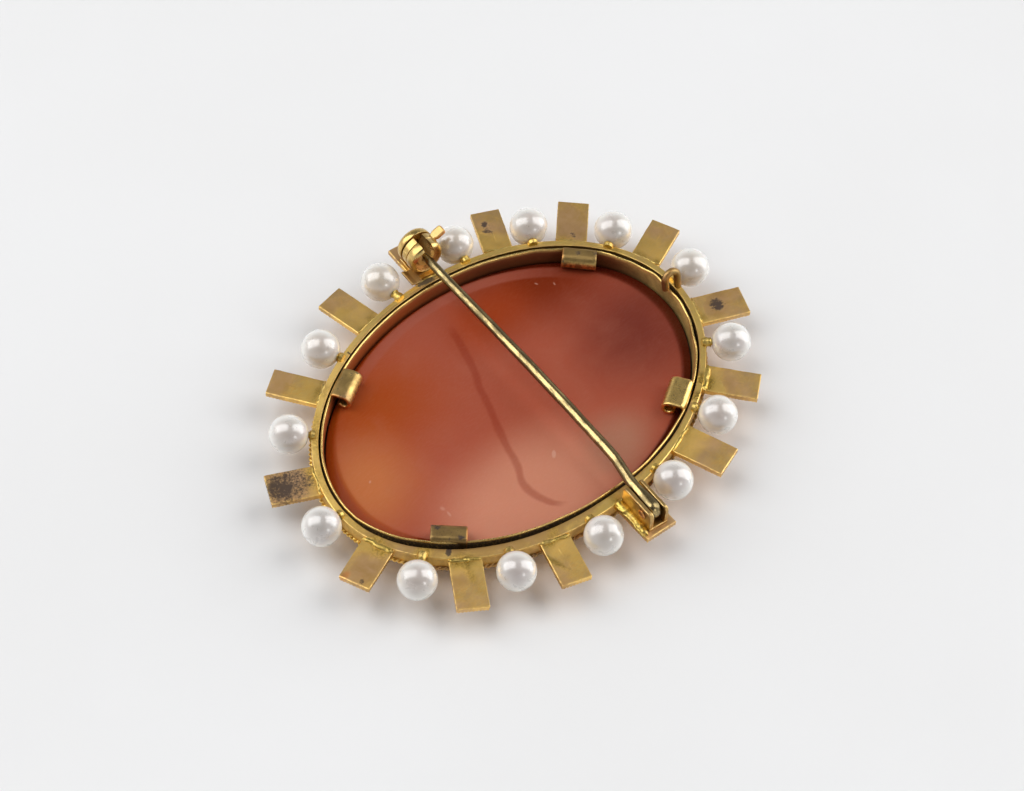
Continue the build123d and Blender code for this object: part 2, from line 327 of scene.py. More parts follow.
@dataclass
class Skin:
    """A surface in the making: points in mm, its faces, and the marks painted on its points."""

    points: np.ndarray
    faces: list[np.ndarray]
    marks: dict[str, np.ndarray] = field(default_factory=dict)

    def paint(self, mark: Mark | str, values: np.ndarray | float) -> "Skin":
        """Add a mark's values to the points, kept between 0 and 1.

        Args:
            mark: which mark.
            values: one value for all or one for each point.

        Returns:
            This skin.
        """
        name = mark.value if isinstance(mark, Mark) else mark
        old = self.marks.get(name, np.zeros(len(self.points)))
        self.marks[name] = np.clip(old + values, 0, 1)
        return self

    def stain_and_shade(self, patches: tuple[Patch, ...]) -> "Skin":
        """Paint patches: strength times a smooth fall from the middle to the edge of each oval.

        Args:
            patches: the marks, placed in the brooch's plane.

        Returns:
            This skin.
        """
        for patch in patches:
            turn = math.radians(patch.turn)
            dx, dy = self.points[:, 0] - patch.x, self.points[:, 1] - patch.y
            across = (math.cos(turn) * dx + math.sin(turn) * dy) / patch.across
            along = (-math.sin(turn) * dx + math.cos(turn) * dy) / patch.along
            fall = 1 - ease(np.hypot(across, along), 0.35, 1.15)
            self.paint(patch.mark, patch.strength * fall)
        return self

    def move(self, shift: np.ndarray) -> "Skin":
        """Add a shift to the points and return this skin."""
        self.points = self.points + shift
        return self

    def volume(self) -> float:
        """Signed volume: the sum of the faces' tetrahedra to the origin, positive when faces point out."""
        total = 0.0
        for group in self.faces:
            corners = self.points[group]
            for step in range(1, corners.shape[1] - 1):
                cross = np.cross(corners[:, step], corners[:, step + 1])
                total += float(np.einsum("ij,ij->", corners[:, 0], cross)) / 6
        return total

    def outward(self) -> "Skin":
        """Turn the faces over if they point inwards and return this skin."""
        if self.volume() < 0:
            self.faces = [group[:, ::-1] for group in self.faces]
        return self


def lattice(points: np.ndarray, wrap_rows: bool = False, wrap_columns: bool = True) -> Skin:
    """Closed surface from a grid of points.

    Neighbouring rows and columns are joined by quads. Rows that do not wrap are closed at
    both ends by a fan of triangles from the end ring's middle.

    Args:
        points: rows x columns x 3 array, a row for each place along the path.
        wrap_rows: the last row joins the first.
        wrap_columns: the last column joins the first.

    Returns:
        The skin, its faces outwards.
    """
    rows, columns, _ = points.shape
    index = np.arange(rows * columns).reshape(rows, columns)
    here = index if wrap_rows else index[:-1]
    there = np.roll(index, -1, axis=0) if wrap_rows else index[1:]
    if wrap_columns:
        beside, across = np.roll(here, -1, axis=1), np.roll(there, -1, axis=1)
    else:
        here, beside, there, across = here[:, :-1], here[:, 1:], there[:, :-1], there[:, 1:]
    quads = np.stack([here, there, across, beside], axis=-1).reshape(-1, 4)
    flat = points.reshape(-1, 3)
    faces = [quads]
    if not wrap_rows and wrap_columns:
        middles = np.stack([points[0].mean(axis=0), points[-1].mean(axis=0)])
        flat = np.concatenate([flat, middles])
        first, last = index[0], index[-1]
        start = np.stack([np.full(columns, rows * columns), first, np.roll(first, -1)], axis=-1)
        end = np.stack([np.full(columns, rows * columns + 1), np.roll(last, -1), last], axis=-1)
        faces += [start, end]
    return Skin(flat, faces).outward()


def join(skins: list[Skin]) -> Skin:
    """Put several skins into one, each keeping its own closed surface.

    Args:
        skins: the surfaces.

    Returns:
        One skin with all points, faces and marks.
    """
    starts = np.cumsum([0] + [len(skin.points) for skin in skins])
    faces = [group + start for skin, start in zip(skins, starts) for group in skin.faces]
    names = {name for skin in skins for name in skin.marks}
    marks = {
        name: np.concatenate([skin.marks.get(name, np.zeros(len(skin.points))) for skin in skins])
        for name in names
    }
    return Skin(np.concatenate([skin.points for skin in skins]), faces, marks)


def ring_tube(path: np.ndarray, radii: np.ndarray, sides: int = 24, closed: bool = False,
              up: tuple[float, float, float] = (0, 0, 1)) -> Skin:
    """Round section carried along a path.

    At each path point the section is radius (a cos v across + b sin v up), where across is
    square to the path and the given up.

    Args:
        path: n x 3 points.
        radii: n x 2 half widths, across and up.
        sides: points round the section.
        closed: the path is a loop.
        up: rough up direction, never along the path.

    Returns:
        The tube, closed at its ends unless it is a loop.
    """
    if closed:
        along = np.roll(path, -1, axis=0) - np.roll(path, 1, axis=0)
    else:
        along = np.gradient(path, axis=0)
    along /= np.linalg.norm(along, axis=1, keepdims=True)
    across = np.cross(along, np.array(up, float))
    across /= np.linalg.norm(across, axis=1, keepdims=True)
    rise = np.cross(across, along)
    v = np.linspace(0, 2 * np.pi, sides, endpoint=False)
    ring = (radii[:, 0, None, None] * np.cos(v)[None, :, None] * across[:, None, :]
            + radii[:, 1, None, None] * np.sin(v)[None, :, None] * rise[:, None, :])
    return lattice(path[:, None, :] + ring, wrap_rows=closed)


def rounded_outline(half_x: float, half_y: float, radius: float, per_side: int) -> np.ndarray:
    """Unit walk round a rectangle, its corners rounded.

    Points spread evenly along the four sides of the square max(|x|, |y|) = 1 are scaled to the
    rectangle, and points within a radius of a corner are pulled on to its arc.

    Args:
        half_x: half length.
        half_y: half width.
        radius: corner radius.
        per_side: points on each side.

    Returns:
        Array of x, y pairs.
    """
    t = np.linspace(-1, 1, per_side, endpoint=False)
    one = np.ones_like(t)
    x = np.concatenate([t, one, -t, -one]) * half_x
    y = np.concatenate([-one, t, one, -t]) * half_y
    radius = min(radius, half_x, half_y)
    core_x = np.clip(x, -(half_x - radius), half_x - radius)
    core_y = np.clip(y, -(half_y - radius), half_y - radius)
    reach = np.hypot(x - core_x, y - core_y)
    pull = np.where(reach > 1e-9, radius / np.maximum(reach, 1e-9), 1.0)
    pull = np.where(reach > radius, pull, 1.0)
    return np.stack([core_x + (x - core_x) * pull, core_y + (y - core_y) * pull], axis=-1)


@dataclass(frozen=True)
class Slab:
    """Flat plate with softened edges, its middle at the local origin and its top at z = 0."""

    length: float
    width: float
    thickness: float
    corner: float = 0.06
    soft: float = 0.05
    flute: float = 0.0
    pitch: float = 0.30
    per_side: int = 44

    def skin(self) -> Skin:
        """Stack outlines from the middle of the underside, round the edge, to the middle of the top.

        Each ring is the rounded rectangle drawn in by an inset; near the lower edge the inset
        also rises and falls along the outline, which gives the fluted front edge.

        Returns:
            The plate, its worn edges painted bright.
        """
        half = self.width / 2
        soft, deep = self.soft, -self.thickness
        face = np.linspace(0.13, 0.96 * half, 12)
        wall = self.thickness
        # Ring by ring: inset, height, wear and share of the fluting.
        rows = [
            (0.95 * half, deep, 0, 0), (0.7 * half, deep, 0, 0), (0.4 * half, deep, 0, 0),
            (0.25, deep, 0, 0.3), (0.12, deep, 0, 0.7), (soft, deep, 0.6, 1),
            (0.3 * soft, deep + 0.3 * soft, 1, 1), (0, deep + soft, 0.9, 1),
            (0, 0.35 * wall + deep, 0.3, 0.55), (0, 0.55 * wall + deep, 0, 0.15),
            (0, 0.75 * wall + deep, 0.2, 0), (0, -soft, 0.9, 0), (0.3 * soft, -0.3 * soft, 1, 0),
            (soft, 0, 0.7, 0), (face[0], 0, 0.12, 0), *((inset, 0, 0, 0) for inset in face[1:])]
        outer = rounded_outline(self.length / 2, half, self.corner, self.per_side)
        step = np.linalg.norm(np.roll(outer, -1, axis=0) - outer, axis=1)
        walk = np.concatenate([[0], np.cumsum(step)[:-1]])
        wave = 0.5 + 0.5 * np.cos(2 * np.pi * walk / self.pitch)
        rings = []
        for inset, height, _, share in rows:
            inner = min(inset, half * 0.95)
            ring = rounded_outline(self.length / 2 - inner, half - inner, max(self.corner - inner, 0.01),
                                   self.per_side)
            pull = 1 - self.flute * share * wave / half
            rings.append(np.stack([ring[:, 0] * (1 - self.flute * share * wave / (self.length / 2)),
                                   ring[:, 1] * pull, np.full(len(ring), height)], axis=-1))
        skin = lattice(np.stack(rings))
        worn = np.repeat([wear for _, _, wear, _ in rows], len(outer))
        return skin.paint(Mark.BRIGHT, np.concatenate([worn, [0, 0]]))

    def laid(self, x: float, y: float, z: float) -> Skin:
        """The plate with its length along Y and the middle of its top at a place.

        Args:
            x: of the middle.
            y: of the middle.
            z: of the top.

        Returns:
            The plate.
        """
        skin = self.skin()
        px, py, pz = skin.points.T
        skin.points = np.column_stack([x + py, y + px, z + pz])
        return skin


def place_skin(skin: Skin, seat: Seat | PinLine) -> Skin:
    """Carry a skin's points through a seat or the pin line and return it."""
    skin.points = seat.place(skin.points)
    return skin


def lump(centre: tuple[float, float, float], half: tuple[float, float, float], seed: int,
         rough: float = 0.22, rows: int = 18, columns: int = 26) -> Skin:
    """Bead of solder: an ellipsoid whose radius is stretched by a random field.

    Args:
        centre: its middle, mm.
        half: half sizes, mm.
        seed: of the random field.
        rough: how far the radius varies, as a share.
        rows: rings from pole to pole.
        columns: points round.

    Returns:
        The bead, painted as solder.
    """
    lift = np.linspace(0.06, np.pi - 0.06, rows)[:, None]
    turn = np.linspace(0, 2 * np.pi, columns, endpoint=False)[None, :]
    ball = np.stack([np.sin(lift) * np.cos(turn), np.sin(lift) * np.sin(turn),
                     np.cos(lift) * np.ones_like(turn)], axis=-1)
    size = np.array(half)
    swell = 1 + rough * Grain(1.1 * float(size.min()) + 0.25, seed).at(ball * size + seed)
    points = ball * swell[..., None] * size + np.array(centre)
    return lattice(points).paint(Mark.SOLDER, 1.0)


def lathe(rows: list[tuple[float, float]], sides: int = 64) -> np.ndarray:
    """Profile turned round the local Y axis: (r cos v, y, r sin v).

    Args:
        rows: radius and y of each profile point, from one pole to the other.
        sides: points round.

    Returns:
        rows x sides x 3 array.
    """
    profile = np.array(rows, float)
    v = np.linspace(0, 2 * np.pi, sides, endpoint=False)
    return np.stack([profile[:, 0, None] * np.cos(v), profile[:, 1, None] * np.ones_like(v),
                     profile[:, 0, None] * np.sin(v)], axis=-1)


def open_ring(rows: list[tuple[float, float]], half_slot: float, sides: int = 72) -> Skin:
    """Profile carried round the local Y axis, leaving a straight-sided slot open at the top.

    A profile point of radius r starts asin(half slot / r) past the top and stops as far before
    it, so both sides of the slot stand upright.

    Args:
        rows: radius and y of the closed profile.
        half_slot: half width of the slot.
        sides: places round.

    Returns:
        The ring, closed by its two slot faces.
    """
    profile = np.array(rows, float)
    gap = np.arcsin(np.clip(half_slot / profile[:, 0], 0, 1))
    share = np.linspace(0, 1, sides)[:, None]
    turn = np.pi / 2 + gap + share * (2 * np.pi - 2 * gap)
    points = np.stack([profile[:, 0] * np.cos(turn), np.broadcast_to(profile[:, 1], turn.shape),
                       profile[:, 0] * np.sin(turn)], axis=-1)
    return lattice(points)


@dataclass(frozen=True)
class Piece:
    """What a finished piece is called, rides on, stands for and is finished with."""

    name: str
    body: Body
    slot: Slot
    nodes: tuple[str, ...]
    material: bpy.types.Material
    crease: float = 38.0

    def make(self, skin: Skin) -> bpy.types.Object:
        """Write the skin into a mesh in metres, with its marks as attributes.

        Args:
            skin: the finished surface.

        Returns:
            The object, riding on its body.
        """
        mesh = bpy.data.meshes.new(self.name)
        polygons = [face for group in skin.faces for face in group.tolist()]
        mesh.from_pydata((skin.points * MM).tolist(), [], polygons)
        mesh.polygons.foreach_set("use_smooth", np.ones(len(mesh.polygons), dtype=bool))
        mesh.set_sharp_from_angle(angle=math.radians(self.crease))
        for name, values in skin.marks.items():
            layer = mesh.attributes.new(name, "FLOAT", "POINT")
            layer.data.foreach_set("value", values.astype(np.float32))
        mesh.materials.append(self.material)
        mesh.update()
        piece = bpy.data.objects.new(self.name, mesh)
        bpy.context.scene.collection.objects.link(piece)
        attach(piece, self.body.value)
        if self.nodes:
            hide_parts(*self.nodes)
        LOG.info("%s: %d points, %d faces", self.name, len(mesh.vertices), len(mesh.polygons))
        return piece


def soldered(name: str, material: bpy.types.Material, skin: Skin, crease: float = 38.0) -> bpy.types.Object:
    """Make a gilt piece that is part of the soldered frame.

    Args:
        name: of the piece.
        material: its finish.
        skin: the finished surface.
        crease: angle past which an edge is sharp, degrees.

    Returns:
        The object, riding on the brooch.
    """
    return Piece(name, Body.BROOCH, Slot.GILT, ("frame",), material, crease).make(skin)


Colour = tuple[float, float, float]


class Bench:
    """A node tree being wired, with short ways to add and join nodes."""

    def __init__(self, tree: bpy.types.NodeTree) -> None:
        """Keep the tree."""
        self.tree = tree

    def feed(self, socket: bpy.types.NodeSocket, value: object) -> None:
        """Link a socket to an output, or set its value.

        Args:
            socket: the input.
            value: an output socket, a number, or a colour or vector.
        """
        if isinstance(value, bpy.types.NodeSocket):
            self.tree.links.new(value, socket)
        elif isinstance(value, tuple) and socket.type == "RGBA" and len(value) == 3:
            socket.default_value = (*value, 1.0)
        else:
            socket.default_value = value

    def put(self, kind: str, inputs: dict[str | int, object] | None = None,
            **settings: object) -> bpy.types.Node:
        """Add a node.

        Args:
            kind: its type name.
            inputs: values or links by socket name or number.
            **settings: its own settings.

        Returns:
            The node.
        """
        node = self.tree.nodes.new(kind)
        for name, value in settings.items():
            setattr(node, name, value)
        self.dress(node, inputs or {})
        return node

    def dress(self, node: bpy.types.Node, inputs: dict[str | int, object]) -> None:
        """Feed several of a node's inputs by name or number."""
        for name, value in inputs.items():
            self.feed(node.inputs[name], value)

    def bump(self, shader: bpy.types.Node, height: object, relief: float, strength: float = 1.0) -> None:
        """Dent a shader's surface by a height, with its relief in mm."""
        inputs = {"Strength": strength, "Distance": relief * MM, "Height": height}
        self.feed(shader.inputs["Normal"], self.put("ShaderNodeBump", inputs).outputs[0])

    def cover(self, tone: object, mask: object, share: float, colour: Colour) -> bpy.types.NodeSocket:
        """Lay a colour over a tone by a share of a mask."""
        return self.blend(self.calc("MULTIPLY", mask, share), tone, colour)

    def calc(self, operation: str, a: object, b: object = 0.0, clamp: bool = False) -> bpy.types.NodeSocket:
        """One Math node's output."""
        return self.put("ShaderNodeMath", {0: a, 1: b}, operation=operation, use_clamp=clamp).outputs[0]

    def vector(self, operation: str, a: object, b: object = (0.0, 0.0, 0.0)) -> bpy.types.NodeSocket:
        """One Vector Math node's vector output."""
        return self.put("ShaderNodeVectorMath", {0: a, 1: b}, operation=operation).outputs["Vector"]

    def scale(self, vector: object, factor: float) -> bpy.types.NodeSocket:
        """A vector times a number."""
        node = self.put("ShaderNodeVectorMath", {0: vector}, operation="SCALE")
        self.feed(node.inputs["Scale"], factor)
        return node.outputs["Vector"]

    def blend(self, amount: object, a: object, b: object, mode: str = "MIX") -> bpy.types.NodeSocket:
        """Mix two colours by an amount."""
        node = self.put("ShaderNodeMix", data_type="RGBA", blend_type=mode, clamp_factor=True)
        self.dress(node, {0: amount, 6: a, 7: b})
        return node.outputs[2]

    def noise(self, vector: object, scale: object, detail: float = 2.0, rough: float = 0.5,
              distortion: float = 0.0) -> bpy.types.NodeSocket:
        """Noise value of about 0.5 with the given size and detail."""
        inputs = {"Vector": vector, "Scale": scale, "Detail": detail, "Roughness": rough,
                  "Distortion": distortion}
        return self.put("ShaderNodeTexNoise", inputs).outputs[0]

    def step(self, value: object, low: object, high: object, start: object = 0.0,
             end: object = 1.0) -> bpy.types.NodeSocket:
        """Smooth step of a value from start at low to end at high."""
        inputs = {0: value, 1: low, 2: high, 3: start, 4: end}
        return self.put("ShaderNodeMapRange", inputs, interpolation_type="SMOOTHSTEP").outputs[0]

    def mark(self, name: str) -> bpy.types.NodeSocket:
        """Value of a mark painted on the points."""
        return self.put("ShaderNodeAttribute", attribute_name=name, attribute_type="GEOMETRY").outputs["Fac"]

    def place(self) -> bpy.types.NodeSocket:
        """Place on the brooch in mm."""
        return self.scale(self.put("ShaderNodeTexCoord").outputs["Object"], 1000.0)

    def use(self, group: bpy.types.NodeTree, **inputs: object) -> bpy.types.Node:
        """Place a shader group with its inputs by name."""
        node = self.tree.nodes.new("ShaderNodeGroup")
        node.node_tree = group
        self.dress(node, inputs)
        return node


def new_group(name: str, inputs: dict[str, tuple[str, object]], outputs: tuple[str, ...]
              ) -> tuple[bpy.types.NodeTree, Bench, dict[str, bpy.types.NodeSocket], bpy.types.Node]:
    """Start a shader group.

    Args:
        name: of the group.
        inputs: socket type (Float or Vector) and default by name.
        outputs: names of its float outputs.

    Returns:
        The tree, a bench on it, its inputs by name and its output node.
    """
    tree = bpy.data.node_groups.new(name, "ShaderNodeTree")
    for label, (kind, default) in inputs.items():
        socket = tree.interface.new_socket(label, in_out="INPUT", socket_type=f"NodeSocket{kind}")
        socket.default_value = default
    for label in outputs:
        tree.interface.new_socket(label, in_out="OUTPUT", socket_type="NodeSocketFloat")
    start, end = tree.nodes.new("NodeGroupInput"), tree.nodes.new("NodeGroupOutput")
    return tree, Bench(tree), {label: start.outputs[label] for label in inputs}, end


class Effects:
    """Shader groups that several finishes share, each built once."""

    def __init__(self) -> None:
        """Build the groups."""
        self.blotches = self.make_blotches()
        self.spot = self.make_spot()
        self.brushing = self.make_brushing()

    def make_blotches(self) -> bpy.types.NodeTree:
        """Patchy cover: 1 where a noise passes a threshold that falls as Cover rises.

        Returns:
            The group, with inputs Vector, Size, Cover and Edge and output Mask.
        """
        inputs = {"Vector": ("Vector", (0, 0, 0)), "Size": ("Float", 1.0), "Cover": ("Float", 0.5),
                  "Edge": ("Float", 0.1)}
        tree, bench, given, end = new_group("blotches", inputs, ("Mask",))
        scale = bench.calc("DIVIDE", 1.0, given["Size"])
        value = bench.noise(given["Vector"], scale, detail=5.0, rough=0.62, distortion=0.25)
        level = bench.calc("MULTIPLY_ADD", given["Cover"], -0.62)
        level.node.inputs[2].default_value = 0.80
        low = bench.calc("SUBTRACT", level, given["Edge"])
        high = bench.calc("ADD", level, given["Edge"])
        bench.feed(end.inputs["Mask"], bench.step(value, low, high))
        return tree

    def make_spot(self) -> bpy.types.NodeTree:
        """Soft oval: the place less the centre, turned and divided by the half sizes; 1 inside, 0 outside.

        Returns:
            The group, with inputs Vector, Centre, Size, Turn and Inner and output Mask.
        """
        inputs = {"Vector": ("Vector", (0, 0, 0)), "Centre": ("Vector", (0, 0, 0)),
                  "Size": ("Vector", (1, 1, 1)), "Turn": ("Float", 0.0), "Inner": ("Float", 0.3)}
        tree, bench, given, end = new_group("soft_spot", inputs, ("Mask",))
        away = bench.vector("SUBTRACT", given["Vector"], given["Centre"])
        turned = bench.put("ShaderNodeVectorRotate", {"Vector": away, "Angle": given["Turn"]},
                           rotation_type="Z_AXIS").outputs[0]
        share = bench.vector("DIVIDE", turned, given["Size"])
        reach = bench.put("ShaderNodeVectorMath", {0: share}, operation="LENGTH").outputs["Value"]
        bench.feed(end.inputs["Mask"], bench.step(reach, given["Inner"], 1.0, 1.0, 0.0))
        return tree

    def make_brushing(self) -> bpy.types.NodeTree:
        """Fine scratches and pits: a stretched noise for lines and a round one for pits.

        Returns:
            The group, with inputs Vector, Lines and Pits and outputs Height and Tone.
        """
        inputs = {"Vector": ("Vector", (0, 0, 0)), "Lines": ("Float", 1.0), "Pits": ("Float", 1.0)}
        tree, bench, given, end = new_group("brushing", inputs, ("Height", "Tone"))
        stretched = bench.vector("MULTIPLY", given["Vector"], (1.0, 9.0, 4.0))
        lines = bench.noise(stretched, 2.2, detail=4.0, rough=0.65)
        pits = bench.noise(given["Vector"], 7.0, detail=4.0, rough=0.7)
        high = bench.calc("ADD", bench.calc("MULTIPLY", lines, given["Lines"]),
                          bench.calc("MULTIPLY", pits, given["Pits"]))
        bench.feed(end.inputs["Height"], high)
        bench.feed(end.inputs["Tone"], bench.step(lines, 0.35, 0.68))
        return tree


def new_material(name: str) -> tuple[bpy.types.Material, Bench, bpy.types.Node]:
    """Material with a bare Principled shader.

    Args:
        name: of the material.

    Returns:
        The material, a bench on its nodes and the shader.
    """
    material = bpy.data.materials.new(name)
    material.use_nodes = True
    tree = material.node_tree
    tree.nodes.clear()
    bench = Bench(tree)
    shader = tree.nodes.new("ShaderNodeBsdfPrincipled")
    out = tree.nodes.new("ShaderNodeOutputMaterial")
    tree.links.new(shader.outputs[0], out.inputs[0])
    return material, bench, shader


@dataclass(frozen=True)
class GiltFinish:
    """Worn gilt brass: base gold under a brown film, black tarnish and painted shade, rough solder, rubbed
    edges and painted highlights, and painted reflection of the stone.
    """

    name: str
    base: Colour = (0.98, 0.580, 0.128)
    pale: Colour = (1.00, 0.700, 0.235)
    film: Colour = (0.42, 0.240, 0.090)
    mauve: Colour = (0.64, 0.405, 0.225)
    soot: Colour = (0.030, 0.020, 0.022)
    solder: Colour = (0.86, 0.56, 0.120)
    pit: Colour = (0.58, 0.34, 0.060)
    # painted reflection of the stone on nearby metal: red-brown, and amber on the left side
    stone_bounce: Colour = (0.150, 0.032, 0.009)
    amber_bounce: Colour = (0.360, 0.075, 0.016)
    copper: Colour = (0.78, 0.31, 0.085)
    yellow: Colour = (1.00, 0.650, 0.170)
    film_cover: float = 0.30
    mauve_cover: float = 0.34
    roughness: float = 0.36
    lines: float = 0.7
    relief: float = 0.010

    def make(self, effects: Effects) -> bpy.types.Material:
        """Wire the finish: films by blotches, marks by painted values, bump from brushing and solder.

        Args:
            effects: the shared groups.

        Returns:
            The material.
        """
        material, bench, shader = new_material(self.name)
        place = bench.place()
        tarnish, soot, solder, bright, copper, matt = (bench.mark(mark.value) for mark in Mark)
        grain = bench.use(effects.brushing, Vector=place, Lines=self.lines, Pits=0.35)
        tone = bench.blend(grain.outputs["Tone"], self.base, self.pale)
        large = bench.noise(place, 0.35, detail=3.0)
        tone = bench.blend(bench.step(large, 0.40, 0.72, 0.0, 0.5), tone, self.pale)
        film = bench.use(effects.blotches, Vector=place, Size=1.9, Edge=0.20,
                         Cover=bench.calc("ADD", tarnish, self.film_cover)).outputs["Mask"]
        depth = bench.calc("ADD", bench.calc("MULTIPLY", tarnish, 0.22), 0.66)
        tone = bench.blend(bench.calc("MULTIPLY", film, depth), tone, self.film)
        shifted = bench.vector("ADD", place, (31.0, 17.0, 5.0))
        mauve = bench.use(effects.blotches, Vector=shifted, Size=2.2, Edge=0.20,
                          Cover=bench.calc("ADD", bench.mark("mauve"), self.mauve_cover)).outputs["Mask"]
        tone = bench.cover(tone, mauve, 0.7, self.mauve)
        tone = bench.cover(tone, bench.mark("yellow"), 0.60, self.yellow)
        tone = bench.cover(tone, copper, 0.9, self.copper)
        # painted reflection: marked metal takes the stone's red-brown colour, turning amber on the left side
        bounce_colour = bench.blend(bench.mark("amber"), self.stone_bounce, self.amber_bounce)
        tone = bench.blend(bench.mark("glow"), tone, bounce_colour)
        lumps = bench.noise(place, 2.6, detail=5.0, rough=0.62, distortion=0.4)
        flow = bench.calc("MULTIPLY", solder, bench.step(lumps, 0.22, 0.62, 0.35, 1.0), clamp=True)
        granules = bench.noise(place, 5.5, detail=3.0, rough=0.6)
        tone = bench.blend(flow, tone, bench.blend(bench.step(granules, 0.40, 0.58), self.pit, self.solder))
        # rubbed edges, and painted highlights where a piece paints them
        wear_and_sheen_spots = bench.calc("MULTIPLY", bright, bench.step(bench.noise(place, 3.0, detail=3.0), 0.38, 0.60))
        tone = bench.cover(tone, wear_and_sheen_spots, 0.75, self.pale)
        # black: tarnish, and painted shade in grooves and shadows
        grit = bench.use(effects.blotches, Vector=place, Size=0.20, Cover=bench.calc("MULTIPLY", soot, 0.95),
                         Edge=0.16).outputs["Mask"]
        grit = bench.calc("MULTIPLY", grit, bench.step(soot, 0.02, 0.35))
        ragged = bench.step(bench.noise(place, 2.4, detail=5.0), 0.3, 0.7, -0.24, 0.24)
        black = bench.calc("MAXIMUM", grit, bench.step(bench.calc("ADD", soot, ragged), 0.46, 0.98))
        tone = bench.cover(tone, black, 0.9, self.soot)
        bench.feed(shader.inputs["Base Color"], tone)
        rough = bench.calc("ADD", bench.calc("MULTIPLY", film, 0.12), self.roughness)
        rough = bench.calc("ADD", rough, bench.calc("MULTIPLY", black, 0.25))
        smooth = bench.calc("MULTIPLY", bench.calc("MAXIMUM", wear_and_sheen_spots, flow), 0.12)
        bench.feed(shader.inputs["Roughness"], bench.calc("SUBTRACT", rough, smooth))
        dull = bench.calc("MAXIMUM", bench.calc("MULTIPLY", black, 0.55), matt)
        bench.feed(shader.inputs["Metallic"], bench.calc("SUBTRACT", 1.0, dull, clamp=True))
        height = bench.calc("ADD", bench.calc("MULTIPLY", grain.outputs["Height"], 0.35),
                            bench.calc("MULTIPLY", bench.calc("MULTIPLY", granules, solder), 2.6))
        bench.bump(shader, height, self.relief)
        return material


@dataclass(frozen=True)
class PinFinish:
    """Polished drawn wire: olive gold with stains, painted shade down its flanks and fine scratches along it.
    """

    name: str
    base: Colour = (0.46, 0.33, 0.130)
    stain_and_shade: Colour = (0.070, 0.062, 0.034)
    pale: Colour = (0.70, 0.53, 0.26)
    roughness: float = 0.17

    def make(self, effects: Effects) -> bpy.types.Material:
        """Wire the finish: stains and painted shade by blotches stretched along the pin, and bump from the
        brushing.

        Args:
            effects: the shared groups.

        Returns:
            The material.
        """
        material, bench, shader = new_material(self.name)
        place = bench.place()
        turned = bench.put("ShaderNodeVectorRotate", {"Vector": place, "Angle": math.radians(10)},
                           rotation_type="Z_AXIS").outputs[0]
        drawn = bench.vector("MULTIPLY", turned, (4.0, 0.9, 4.0))
        grain = bench.use(effects.brushing, Vector=drawn, Lines=0.4, Pits=0.5)
        tone = bench.blend(grain.outputs["Tone"], self.base, self.pale)
        # stains, and painted shade on the pin's flanks from its painted mark
        cover = bench.calc("ADD", bench.mark(Mark.SOOT.value), 0.38)
        streaks = bench.vector("MULTIPLY", turned, (1.6, 0.6, 1.6))
        stained_and_shaded = bench.use(effects.blotches, Vector=streaks, Size=0.9, Cover=cover,
                            Edge=0.12).outputs["Mask"]
        tone = bench.cover(tone, stained_and_shaded, 0.75, self.stain_and_shade)
        copper = bench.mark(Mark.COPPER.value)
        tone = bench.blend(bench.calc("MULTIPLY", copper, 0.85), tone, (0.60, 0.23, 0.06))
        bench.feed(shader.inputs["Base Color"], tone)
        bench.feed(shader.inputs["Roughness"], bench.calc("ADD", bench.calc("MULTIPLY", stained_and_shaded, 0.14),
                                                          self.roughness))
        shader.inputs["Metallic"].default_value = 1.0
        bench.bump(shader, grain.outputs["Height"], 0.004)
        return material


@dataclass(frozen=True)
class Zone:
    """A soft oval of colour on the stone's back."""

    x: float
    y: float
    across: float
    along: float
    turn: float
    inner: float
    colour: Colour
    strength: float


